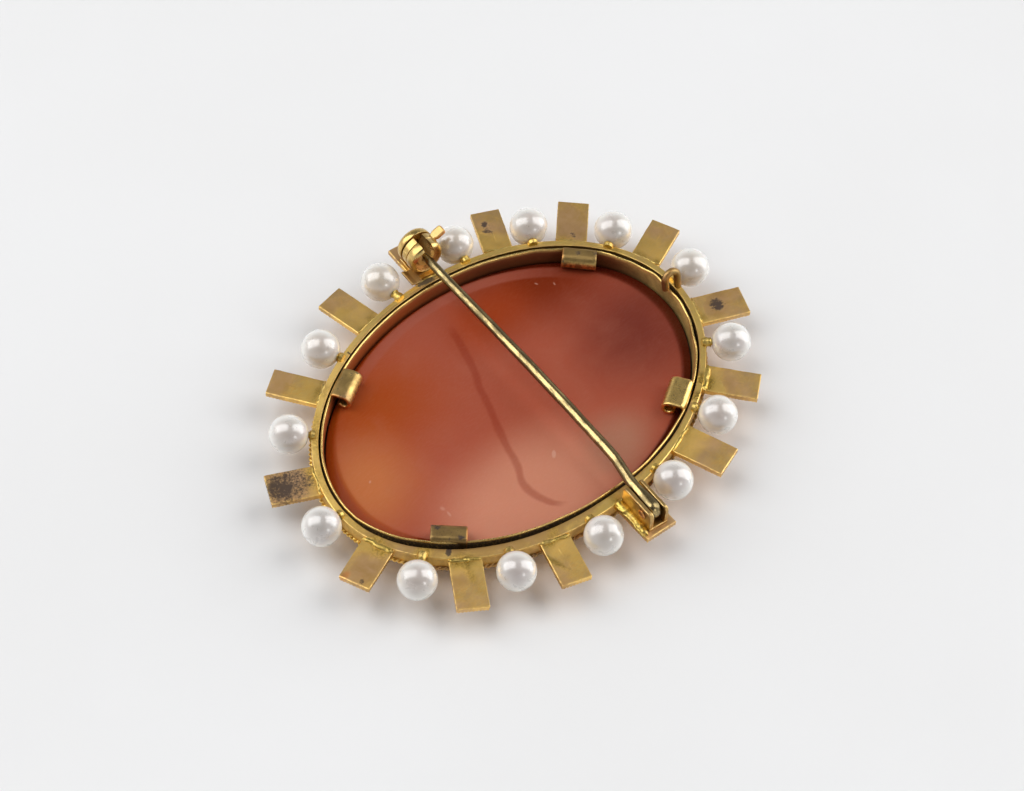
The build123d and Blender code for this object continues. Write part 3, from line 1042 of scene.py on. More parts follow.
@dataclass(frozen=True)
class StoneFinish:
    """Translucent orange-brown shell, polished, with a painted hazy reflection towards one side and a pale
    raised carving.
    """

    name: str
    base: Colour = (0.375, 0.086, 0.047)
    # the dark edge colour is painted shade on the shoulder next to the wall; the amber colour is painted
    # light through the shell on the left
    edge: Colour = (0.085, 0.008, 0.002)
    amber: Colour = (0.33, 0.052, 0.003)
    # the band colour is a painted reflection near the far edge
    band: Colour = (0.40, 0.12, 0.080)
    carving: Colour = (0.82, 0.70, 0.58)
    # colour zones: partly the shell's own banding, partly painted light through it; the two pale pink zones
    # on the near side (negative Y) are a painted hazy reflection
    zones: tuple[Zone, ...] = (
        Zone(-9.0, 7.5, 10.0, 8.0, 0, 0.1, (0.355, 0.062, 0.010), 0.95),
        Zone(-15.0, 2.5, 8.0, 6.5, 20, 0.1, (0.500, 0.160, 0.056), 0.95),
        Zone(11.5, 7.5, 11.0, 7.5, -28, 0.10, (0.185, 0.023, 0.005), 1.00),
        Zone(5.5, 7.5, 6.5, 4.5, 0, 0.0, (0.330, 0.046, 0.009), 0.90),
        Zone(13.5, -2.5, 9.5, 9.0, 0, 0.05, (0.175, 0.034, 0.021), 1.00),
        Zone(-6.5, -8.0, 13.5, 8.5, 0, 0.30, (0.560, 0.225, 0.140), 1.00),
        Zone(3.2, -9.5, 6.0, 4.0, 20, 0.1, (0.400, 0.175, 0.108), 0.95),
    )
    flecks: tuple[Zone, ...] = (
        Zone(-1.19, -6.10, 0.52, 0.22, 43, 0.5, (0.62, 0.36, 0.27), 0.60),
        Zone(-11.94, -3.62, 0.34, 0.26, 90, 0.2, (0.62, 0.36, 0.27), 0.34),
        Zone(-11.94, -4.36, 0.42, 0.16, 76, 0.3, (0.62, 0.36, 0.27), 0.38),
        Zone(10.78, 7.21, 0.10, 0.22, 20, 0.4, (0.62, 0.36, 0.27), 0.50),
        Zone(11.90, 6.12, 0.10, 0.22, -20, 0.4, (0.62, 0.36, 0.27), 0.50),
        Zone(1.50, -10.22, 0.12, 0.20, 0, 0.4, (0.62, 0.36, 0.27), 0.55),
        Zone(-14.27, 2.45, 0.20, 0.12, 30, 0.4, (0.62, 0.36, 0.27), 0.45),
    )

    @staticmethod
    def spots(bench: Bench, effects: Effects, place: bpy.types.NodeSocket, tone: object,
              zones: tuple[Zone, ...]) -> object:
        """Lay soft ovals of colour over a tone, one after another.

        Args:
            bench: the material's bench.
            effects: the shared groups.
            place: the level place in mm.
            tone: the colour under them.
            zones: the ovals.

        Returns:
            The colour with the ovals on it.
        """
        for zone in zones:
            mask = bench.use(effects.spot, Vector=place, Centre=(zone.x, zone.y, 0.0),
                             Size=(zone.across, zone.along, 1.0), Turn=math.radians(-zone.turn),
                             Inner=zone.inner).outputs["Mask"]
            tone = bench.cover(tone, mask, zone.strength, zone.colour)
        return tone

    def dark_streak(self, bench: Bench, place: bpy.types.NodeSocket) -> bpy.types.NodeSocket:
        """Soft wavy streak: 1 where x is near a curve of y, fading at both ends.

        Args:
            bench: the material's bench.
            place: the place in mm.

        Returns:
            The streak's mask.
        """
        parts = bench.put("ShaderNodeSeparateXYZ", {0: place})
        wander = bench.noise(place, 0.5, detail=2.0)
        limits = {0: parts.outputs["Y"], 1: -10.6, 2: 9.6, 3: 0.0, 4: 1.0}
        share = bench.put("ShaderNodeMapRange", limits).outputs[0]
        curve = bench.put("ShaderNodeFloatCurve", {"Value": share})
        line = curve.mapping.curves[0]
        stops = ((0.0, 0.24), (0.015, 0.20), (0.109, 0.11), (0.193, 0.12), (0.297, 0.235), (0.450, 0.375),
                 (0.579, 0.500), (0.807, 0.735), (0.940, 0.835), (1.0, 0.87))
        line.points[0].location, line.points[-1].location = stops[0], stops[-1]
        for stop in stops[1:-1]:
            line.points.new(*stop)
        curve.mapping.update()
        middle = bench.calc("MULTIPLY_ADD", curve.outputs[0], 10.0)
        middle.node.inputs[2].default_value = -6.5
        away = bench.calc("SUBTRACT", parts.outputs["X"], middle)
        drift = bench.calc("MULTIPLY", bench.calc("SUBTRACT", wander, 0.5), 0.5)
        away = bench.calc("ABSOLUTE", bench.calc("ADD", away, drift))
        core = bench.step(away, 0.16, 0.56, 1.0, 0.0)
        ends = bench.calc("MULTIPLY", bench.step(share, 0.0, 0.05), bench.step(share, 0.93, 1.0, 1.0, 0.0))
        return bench.calc("MULTIPLY", core, ends)

    def make(self, effects: Effects) -> bpy.types.Material:
        """Wire the stone: zones of colour with painted light and a painted hazy reflection, haze, painted
        shade and painted amber light on the shoulder, a paler band of painted reflection, flecks and the
        carving.

        Args:
            effects: the shared groups.

        Returns:
            The material.
        """
        material, bench, shader = new_material(self.name)
        place = bench.place()
        drift = bench.noise(place, 0.10, detail=3.0)
        wobble = bench.put("ShaderNodeVectorMath", {0: (2.5, -2.0, 0.0)}, operation="SCALE")
        bench.feed(wobble.inputs["Scale"], bench.calc("SUBTRACT", drift, 0.5))
        warped = bench.vector("ADD", place, wobble.outputs["Vector"])
        flat = bench.vector("MULTIPLY", warped, (1.0, 1.0, 0.0))
        tone = self.spots(bench, effects, flat, self.base, self.zones)
        cloud = bench.noise(place, 0.28, detail=4.0, rough=0.55, distortion=0.6)
        tone = bench.blend(bench.step(cloud, 0.46, 0.80, 0.0, 0.14), tone, (0.46, 0.16, 0.10))
        # a soft dark streak beside the pin, painted into the colour
        tone = bench.blend(bench.calc("MULTIPLY", self.dark_streak(bench, place), 0.42), tone, (0.24, 0.024, 0.008))
        # painted reflection: the paler band near the far edge
        band = bench.mark("band")
        tone = bench.cover(tone, band, 0.50, self.band)
        level = bench.vector("MULTIPLY", place, (1.0, 1.0, 0.0))
        tone = self.spots(bench, effects, level, tone, self.flecks)
        # painted shade on the shoulder, dark red, with painted amber light on the left
        shoulder = bench.mark("shoulder")
        rim = bench.blend(bench.mark("amber"), self.edge, self.amber)
        tone = bench.blend(bench.calc("MULTIPLY", shoulder, 0.95), tone, rim)
        front = bench.mark("front")
        warm = bench.blend(bench.step(cloud, 0.35, 0.65), (0.34, 0.095, 0.045), (0.44, 0.15, 0.075))
        tone = bench.blend(front, tone, warm)
        raised = bench.mark("carving")
        pale = bench.blend(bench.step(bench.noise(place, 1.3, detail=4.0), 0.35, 0.7), self.carving,
                           (0.70, 0.50, 0.36))
        tone = bench.blend(raised, tone, pale)
        bench.feed(shader.inputs["Base Color"], tone)
        scratches = bench.use(effects.brushing, Vector=place, Lines=0.25, Pits=0.15)
        bench.feed(shader.inputs["Roughness"],
                   bench.calc("ADD", bench.calc("MULTIPLY", raised, 0.16),
                              bench.step(scratches.outputs["Tone"], 0.0, 1.0, 0.24, 0.29)))
        bench.dress(shader, {"Specular IOR Level": 0.10, "Subsurface Weight": 0.25,
                             "Subsurface Radius": (1.0, 0.30, 0.18), "Subsurface Scale": 1.2 * MM})
        bench.bump(shader, scratches.outputs["Height"], 0.004, strength=0.6)
        return material


@dataclass(frozen=True)
class NacreFinish:
    """Grey-white cultured nacre: a deeper heart that is a painted reflection of dark surroundings, a bright
    rim of painted light, creamy patches and a soft strong lustre.
    """

    name: str
    # the heart colour is a darker middle standing for painted reflection; the limb colour is painted light
    # towards the edge
    heart: Colour = (0.53, 0.500, 0.465)
    limb_light: Colour = (0.90, 0.880, 0.830)
    blush: Colour = (0.56, 0.490, 0.470)
    cream: Colour = (0.66, 0.535, 0.370)

    def make(self, effects: Effects) -> bpy.types.Material:
        """Wire the nacre: painted reflection and painted light by facing, painted cream and blush, and a
        glossy coat over a satin body.

        Args:
            effects: the shared groups.

        Returns:
            The material.
        """
        material, bench, shader = new_material(self.name)
        place = bench.place()
        facing = bench.put("ShaderNodeLayerWeight", {"Blend": 0.5}).outputs["Facing"]
        clouds = bench.use(effects.blotches, Vector=place, Size=2.6, Cover=0.50, Edge=0.24).outputs["Mask"]
        tone = bench.blend(bench.calc("MULTIPLY", bench.mark("blush"), 0.8), self.heart, self.blush)
        cream = bench.calc("MULTIPLY", bench.mark("cream"), bench.step(clouds, 0.0, 1.0, 0.55, 1.0))
        tone = bench.cover(tone, cream, 0.85, self.cream)
        # painted light towards the limb, leaving the middle darker as painted reflection
        tone = bench.blend(bench.step(facing, 0.05, 0.64, 0.0, 0.90), tone, self.limb_light)
        bench.feed(shader.inputs["Base Color"], tone)
        ripple = bench.noise(place, 1.1, detail=3.0, rough=0.55, distortion=0.4)
        bench.feed(shader.inputs["Roughness"], bench.step(ripple, 0.3, 0.7, 0.26, 0.34))
        bench.dress(shader, {"IOR": 1.70, "Specular IOR Level": 0.95, "Coat Weight": 1.0,
                             "Coat Roughness": 0.17, "Coat IOR": 1.75, "Subsurface Weight": 0.25,
                             "Subsurface Radius": (1.0, 0.85, 0.70), "Subsurface Scale": 0.5 * MM})
        bench.bump(shader, bench.noise(place, 0.7, detail=0.0), 0.010, strength=0.15)
        return material


@dataclass(frozen=True)
class TableFinish:
    """Pale, softly glossy table top."""

    name: str
    white: Colour = (0.865, 0.865, 0.865)
    warm: Colour = (0.850, 0.848, 0.845)
    glow: Colour = (0.870, 0.790, 0.735)
    bounced_light_size: tuple[float, float, float] = (25.0, 20.5, 1.0)

    def make(self, effects: Effects) -> bpy.types.Material:
        """Wire the table: a faint cloudiness, and the warm light that the stone and gilding throw below them.

        Args:
            effects: the shared groups.

        Returns:
            The material.
        """
        material, bench, shader = new_material(self.name)
        place = bench.place()
        cloud = bench.noise(place, 0.02, detail=3.0)
        tone = bench.blend(bench.step(cloud, 0.35, 0.65), self.white, self.warm)
        glow = bench.use(effects.spot, Vector=place, Centre=(0.6, -0.8, 0.0), Size=self.bounced_light_size, Inner=0.70)
        bench.feed(shader.inputs["Base Color"], bench.blend(glow.outputs["Mask"], tone, self.glow))
        wear = bench.noise(place, 0.15, detail=4.0)
        bench.feed(shader.inputs["Roughness"], bench.step(wear, 0.3, 0.7, 0.20, 0.27))
        return material


class Palette:
    """All finishes of the brooch, made once."""

    def __init__(self) -> None:
        """Make the shared effects and every material."""
        effects = Effects()
        worn = GiltFinish("worn_gilt")
        self.bars = worn.make(effects)
        self.rim = replace(worn, name="rim_gilt", base=(1.0, 0.67, 0.16), film_cover=0.22, mauve_cover=0.20,
                           lines=0.3, roughness=0.36, relief=0.016).make(effects)
        self.collet = replace(worn, name="collet_gilt", base=(0.74, 0.50, 0.16), film=(0.22, 0.135, 0.055),
                              film_cover=0.34, mauve_cover=0.14, roughness=0.30, lines=0.4).make(effects)
        self.fittings = replace(worn, name="fittings_gilt", base=(0.65, 0.435, 0.125),
                                pale=(0.72, 0.52, 0.21), film_cover=0.26, mauve_cover=0.12,
                                roughness=0.27, lines=0.25).make(effects)
        self.solder = replace(worn, name="solder_gilt", base=(0.56, 0.41, 0.105), solder=(0.58, 0.43, 0.10),
                              pit=(0.36, 0.245, 0.05), film_cover=0.36, roughness=0.38,
                              relief=0.010).make(effects)
        self.pin = PinFinish("pin_wire").make(effects)
        self.stone = StoneFinish("cameo_shell").make(effects)
        self.nacre = NacreFinish("pearl_nacre").make(effects)
        self.table = TableFinish("pale_table").make(effects)


@dataclass(frozen=True)
class OvalSection:
    """Closed section of an oval ring: half lengths and height at each corner of the section."""

    rows: tuple[tuple[float, float, float], ...]
    steps: int = 720

    def skin(self) -> Skin:
        """Carry the section round the oval: (long cos t, short sin t, z) for each corner.

        Returns:
            The ring.
        """
        turn = np.linspace(0, 2 * np.pi, self.steps, endpoint=False)[:, None]
        section = np.array(self.rows)
        x = section[:, 0] * np.cos(turn)
        y = section[:, 1] * np.sin(turn)
        z = np.broadcast_to(section[:, 2], x.shape)
        return lattice(np.stack([x, y, z], axis=-1), wrap_rows=True)


@dataclass(frozen=True)
class RimBand:
    """Oval band with a flat back face, a sloped underside and the front lip."""

    outer: Oval = RIM
    back_z: float = BACK_Z
    wall_bottom: float = 1.80
    lip_bottom: float = 0.95
    lip_top: float = 1.30
    inner_inset: float = 0.60
    lip_outer: Oval = Oval(18.55, 13.33)
    lip_inner: Oval = Oval(16.75, 11.85)
    solder_height: float = 0.045
    near_widen: float = 0.40

    def section(self) -> OvalSection:
        """Section from the lip's inner edge, under and up the wall, over the back face and down inside."""
        long, short, top = self.outer.long, self.outer.short, self.back_z
        inset = self.inner_inset
        over = [(0.00, -0.50), (0.00, -0.30), (0.00, -0.12), (0.00, -0.05), (0.012, -0.02), (0.04, 0.0),
                (0.10, 0.0), (0.18, 0.0), (0.26, 0.0), (0.34, 0.0), (0.42, 0.0), (0.50, 0.0), (0.56, 0.0),
                (0.59, -0.015), *((inset, down) for down in (-0.05, -0.15, -0.40, -0.90, -1.40))]
        rows = [(self.lip_inner.long, self.lip_inner.short, self.lip_bottom + 0.03),
                (self.lip_inner.long + 0.05, self.lip_inner.short + 0.05, self.lip_bottom),
                (self.lip_outer.long - 0.10, self.lip_outer.short - 0.10, self.lip_bottom),
                (self.lip_outer.long, self.lip_outer.short, self.lip_bottom + 0.04),
                (long - 0.10, short - 0.10, self.wall_bottom - 0.12), (long, short, self.wall_bottom + 0.05),
                (long, short, self.wall_bottom + 0.40)]
        rows += [(long - inward, short - inward, top + down) for inward, down in over]
        rows += [(long - inset, short - inset, self.lip_top + 0.03),
                 (long - inset - 0.03, short - inset - 0.03, self.lip_top),
                 (self.lip_inner.long + 0.05, self.lip_inner.short + 0.05, self.lip_top),
                 (self.lip_inner.long, self.lip_inner.short, self.lip_top - 0.03)]
        return OvalSection(tuple(rows))

    def build(self, palette: Palette) -> bpy.types.Object:
        """Raise rough solder on the back face, paint shade down the groove side and make the band.

        Args:
            palette: the finishes.

        Returns:
            The piece.
        """
        skin = self.section().skin().stain_and_shade(STAINS_AND_SHADOWS)
        points = skin.points
        reach = np.hypot(points[:, 0] / self.outer.long, points[:, 1] / self.outer.short)
        face = ease(points[:, 2], self.back_z - 0.10, self.back_z - 0.01)
        inside = (1 - ease(reach, 0.968, 0.972)) * ease(points[:, 2], self.lip_top - 0.1, self.lip_top)
        # painted shade down the inner side into the groove
        skin.paint(Mark.SOOT, inside * ease(self.back_z - points[:, 2], 0.10, 0.60) * 0.9)
        skin.paint(Mark.TARNISH, inside * 0.5)
        outside = ease(reach, 0.9985, 0.9995) * ease(self.back_z - points[:, 2], 0.05, 0.2)
        skin.paint(Mark.TARNISH, outside * 0.25)
        near = ease(-0.56 * points[:, 0] - 0.57 * points[:, 1], 9.0, 12.0)
        skin.paint(Mark.TARNISH, 0.50 * near * face)
        left = ease(0.72 * points[:, 1] - 0.69 * points[:, 0], 11.0, 15.0)
        skin.paint(Mark.MATT, 0.40 * left * face).paint("yellow", 0.7 * left * face)
        edge = np.exp(-((points[:, 2] - self.back_z + 0.02) / 0.05) ** 2) * ease(reach, 0.994, 0.998)
        skin.paint(Mark.BRIGHT, edge)
        rough = skin.marks[Mark.SOLDER.value] * (
            0.5 + 0.5 * Grain(0.55, 5).at(points) + 0.3 * Grain(0.28, 6).at(points))
        lift = face * (self.solder_height * np.clip(rough, -0.2, 1.0) + 0.006 * Grain(1.6, 7).at(points))
        normal = np.zeros_like(points)
        normal[:, :2] = points[:, :2] / np.maximum(np.linalg.norm(points[:, :2], axis=1, keepdims=True), 1e-6)
        bulge = outside * (0.012 * Grain(1.4, 8).at(points) + 0.03 * skin.marks[Mark.SOLDER.value])
        above_lip = ease(points[:, 2], self.lip_top + 0.02, self.lip_top + 0.10)
        inner = (1 - ease(reach, 0.966, 0.9745)) * above_lip
        turn = np.degrees(np.arctan2(points[:, 1] / self.outer.short, points[:, 0] / self.outer.long))
        widen = self.near_widen
        inward = np.interp(turn, [-175, -150, -135, -100, -70], [0, 0.32, widen, widen, 0])
        skin.move(normal * (bulge - inner * inward)[:, None])
        skin.points[:, 2] += lift
        return soldered("rim_band", palette.rim, skin)


@dataclass(frozen=True)
class BorderWire:
    """Two-strand twisted wire along the foot of the rim's wall."""

    centre_z: float = 1.86
    stand_off: float = 0.02
    coil_radius: float = 0.10
    strand_radius: float = 0.11
    twists: int = 108
    steps: int = 2160

    def build(self, palette: Palette) -> bpy.types.Object:
        """Wind two strands: each circles the oval path at the coil radius, half a turn apart.

        Args:
            palette: the finishes.

        Returns:
            The piece.
        """
        turn = np.linspace(0, 2 * np.pi, self.steps, endpoint=False)
        skins = []
        for phase in (0.0, np.pi):
            spin = self.twists * turn + phase
            edge = RIM.edge(turn, self.stand_off + self.coil_radius * np.cos(spin))
            path = np.column_stack([edge, self.centre_z + self.coil_radius * np.sin(spin)])
            radii = np.full((self.steps, 2), self.strand_radius)
            skins.append(ring_tube(path, radii, sides=8, closed=True))
        skin = join(skins)
        near = 1 - ease(skin.points[:, 1] - 0.25 * skin.points[:, 0], -2.5, 1.5)
        skin.paint(Mark.TARNISH, 0.75 * near)
        skin.paint(Mark.MATT, 0.5 * near)
        skin.paint(Mark.SOLDER, 0.5 * (1 - near))
        skin.paint(Mark.COPPER, 0.35 * near * ease(Grain(5.0, 31).at(skin.points), -0.2, 0.6))
        skin.paint(Mark.SOOT, 0.5 * near * ease(Grain(3.0, 32).at(skin.points), 0.1, 0.8))
        return soldered("border_wire", palette.rim, skin)


@dataclass(frozen=True)
class RayBars:
    """Fourteen flat bars soldered round the rim, with fluted front edges."""

    bars: tuple[Bar, ...] = BARS
    top_z: float = BACK_Z - 0.10
    thickness: float = 0.55
    root: float = 0.30
    flute: float = 0.055
    hammer: float = 0.010
    yellow_to: tuple[float, ...] = (2.0, 1.9, 0.0, 2.3, 0.3, 1.5, 2.0, 1.6, 1.9, 1.7, 1.0, 0.6, 1.7, 2.6)
    yellow_skew: tuple[float, ...] = (0.0, 0.5, 0.0, 0.0, 0.0, -0.2, 0.0, 0.0, 1.1, 0.2, -0.6, 0.0, -0.3, 0.2)

    def build(self, palette: Palette) -> bpy.types.Object:
        """Lay each slab on its seat, with a slightly uneven face, and paint its stains.

        Args:
            palette: the finishes.

        Returns:
            The piece.
        """
        skins = []
        for number, bar in enumerate(self.bars):
            slab = Slab(bar.length + self.root, bar.width, self.thickness, flute=self.flute)
            skin = slab.skin().move(np.array([(bar.length - self.root) / 2, 0, 0]))
            skin.points[:, 2] += self.hammer * Grain(1.8, 40 + number).at(skin.points)
            skin.points[:, 1] += 0.012 * Grain(1.2, 60 + number).at(skin.points)
            ends = self.yellow_to[number] + self.yellow_skew[number] * skin.points[:, 1]
            past = skin.points[:, 0] - ends + 0.45 * Grain(1.6, 120 + number).at(skin.points)
            outer = ease(past, -0.7, 0.7)
            film = ease(Grain(3.2, 80 + number).at(skin.points), -0.3, 0.9) * 0.34
            skin.paint(Mark.TARNISH, film * (0.3 + 0.7 * outer) + 0.10 * outer)
            skin.paint("mauve", 0.14 * outer).paint("yellow", 0.80 * (1 - outer))
            skin.paint(Mark.SOLDER, 0.55 * (1 - ease(skin.points[:, 0], 0.15, 0.9))
                       * ease(Grain(1.2, 100 + number).at(skin.points), -0.1, 0.6))
            skins.append(place_skin(skin, Seat(bar.angle, height=self.top_z, skew=bar.skew)))
        skin = join(skins).stain_and_shade(STAINS_AND_SHADOWS)
        return soldered("ray_bars", palette.bars, skin, crease=32)


@dataclass(frozen=True)
class SolderFlow:
    """Beads of solder where the bars and the pearls' pegs meet the rim."""

    bars: tuple[Bar, ...] = BARS
    pearls: tuple[PearlPlace, ...] = PEARLS
    bar_rich: tuple[float, ...] = (0.5, 0.0, 0.05, 0.1, 0.1, 0.9, 0.3, 0.4, 0.5, 0.6, 0.9, 0.3, 0.2, 0.0)
    peg_rich: tuple[float, ...] = (0.7, 0.5, 0.9, 0.6, 0.7, 0.6, 0.6, 0.5, 0.5, 1.0, 0.6, 0.9, 0.8, 0.6)

    def fillet(self, bar: Bar, rich: float, seed: int) -> Skin:
        """Uneven half-sunk fillet along a bar's root: a tube whose radius follows a random field.

        Args:
            bar: the bar.
            rich: how much solder the joint has, 0 to 1.
            seed: of the unevenness.

        Returns:
            The fillet.
        """
        run = np.linspace(-bar.width / 2, bar.width / 2, 48)
        wander = Grain(1.4, seed).at(np.column_stack([run, run * 0, run * 0]))
        path = np.column_stack([0.02 + 0.10 * rich + 0.06 * wander, run, np.full(48, -0.13)])
        wide = (0.10 + 0.20 * rich) * (1 + 0.25 * Grain(0.8, seed + 1).at(path)) * (0.35 + 0.65 * ease(
            bar.width / 2 - np.abs(run), 0.0, 0.35))
        tube = ring_tube(path, np.column_stack([wide, 0.10 + 0.35 * wide]), sides=20)
        tube.points[:, 2] += 0.02 * Grain(0.5, seed + 2).at(tube.points)
        tube.paint(Mark.SOLDER, 0.55 + 0.35 * rich)
        return place_skin(tube, Seat(bar.angle, height=BACK_Z, skew=bar.skew))

    def build(self, palette: Palette) -> bpy.types.Object:
        """Lay a fillet along each bar's root and a smooth bead at each peg.

        Args:
            palette: the finishes.

        Returns:
            The piece.
        """
        skins = [self.fillet(bar, rich, 800 + 7 * number)
                 for number, (bar, rich) in enumerate(zip(self.bars, self.bar_rich))]
        for number, (pearl, rich) in enumerate(zip(self.pearls, self.peg_rich)):
            size = 0.20 + 0.16 * rich
            bead = lump((-0.04, 0.0, -0.06 - 0.30 * size), (0.80 * size, 1.5 * size, 0.75 * size),
                        900 + number, rough=0.12)
            skins.append(place_skin(bead, Seat(pearl.angle, height=BACK_Z)))
        skin = join(skins)
        skin.paint(Mark.TARNISH, 0.4 * ease(Grain(2.5, 12).at(skin.points), 0.0, 0.9))
        return soldered("solder_flow", palette.solder, skin)


@dataclass(frozen=True)
class PearlPegs:
    """Pegs from the rim into the half-drilled pearls."""

    pearls: tuple[PearlPlace, ...] = PEARLS
    pearl_radius: float = 1.685
    collar_radius: float = 0.50
    post_radius: float = 0.28
    post_length: float = 1.00
    root: float = 0.30

    def build(self, palette: Palette) -> bpy.types.Object:
        """Turn each peg's waisted profile round its own axis, from the rim to inside the pearl.

        Args:
            palette: the finishes.

        Returns:
            The piece.
        """
        skins = []
        for pearl in self.pearls:
            start = pearl.stand_off - self.pearl_radius - 0.04
            reach = max(start, 0.08)
            wide, post = self.collar_radius, self.post_radius
            profile = [
                (0.02, -self.root), (wide * 0.8, -self.root), (wide * 0.92, -0.02),
                (wide * 0.78, 0.35 * reach), (wide * 0.74, 0.65 * reach), (wide * 0.86, reach * 0.95),
                (wide * 0.8, reach), (post, reach), (post, start + 0.5),
                (post * 0.9, start + 0.04 + self.post_length),
                (0.02, start + 0.05 + self.post_length)]
            turned = lathe(profile, sides=28)
            points = turned[..., [1, 0, 2]]
            skins.append(place_skin(lattice(points), Seat(pearl.angle, height=BACK_Z)))
        skin = join(skins).paint(Mark.SOLDER, 0.7)
        return soldered("pearl_pegs", palette.solder, skin)


@dataclass(frozen=True)
class Pearls:
    """Fourteen slightly irregular half-drilled pearls, each its own piece."""

    pearls: tuple[PearlPlace, ...] = PEARLS
    radius: float = 1.685
    creamy: tuple[float, ...] = (0.9, 0.5, 0.5, 0.6, 0.3, 0.4, 0.2, 0.35, 0.2, 0.4, 0.1, 0.4, 0.6, 1.4)
    irregular: float = 0.010
    rows: int = 56
    columns: int = 72

    def build(self, palette: Palette) -> list[bpy.types.Object]:
        """Round each pearl as a ball whose radius varies slowly, dimpled round its drilling.

        Args:
            palette: the finishes.

        Returns:
            The pieces.
        """
        lift = np.linspace(0.03, np.pi - 0.03, self.rows)[:, None]
        turn = np.linspace(0, 2 * np.pi, self.columns, endpoint=False)[None, :]
        ball = np.stack([-np.cos(lift) * np.ones_like(turn), np.sin(lift) * np.cos(turn),
                         np.sin(lift) * np.sin(turn)], axis=-1)
        made = []
        for number, pearl in enumerate(self.pearls, start=1):
            swell = self.irregular * Grain(3.4, 200 + number, waves=6).at(ball * self.radius)
            dimple = 0.02 * np.exp(-((lift / 0.30) ** 2)) * np.ones_like(turn)
            size = self.radius * (0.992 + np.clip(swell, -0.012, 0.006)) - dimple
            points = ball * size[..., None]
            skin = place_skin(lattice(points), Seat(pearl.angle, pearl.stand_off, BACK_Z))
            # creamier towards the bottom: painted warm light from the table, over each pearl's own cream
            low = ease(BACK_Z - skin.points[:, 2], -1.1, 0.6)
            skin.paint("cream", self.creamy[number - 1] * (0.65 + 0.35 * low))
            skin.paint("blush", 0.5 + 0.5 * Grain(3.0, 260 + number, waves=5).at(skin.points))
            piece = Piece(f"pearl_bead_{number:02d}", Body.BROOCH, Slot.PEARL, (f"pearl_{number:02d}",),
                          palette.nacre, crease=80)
            made.append(piece.make(skin))
        return made


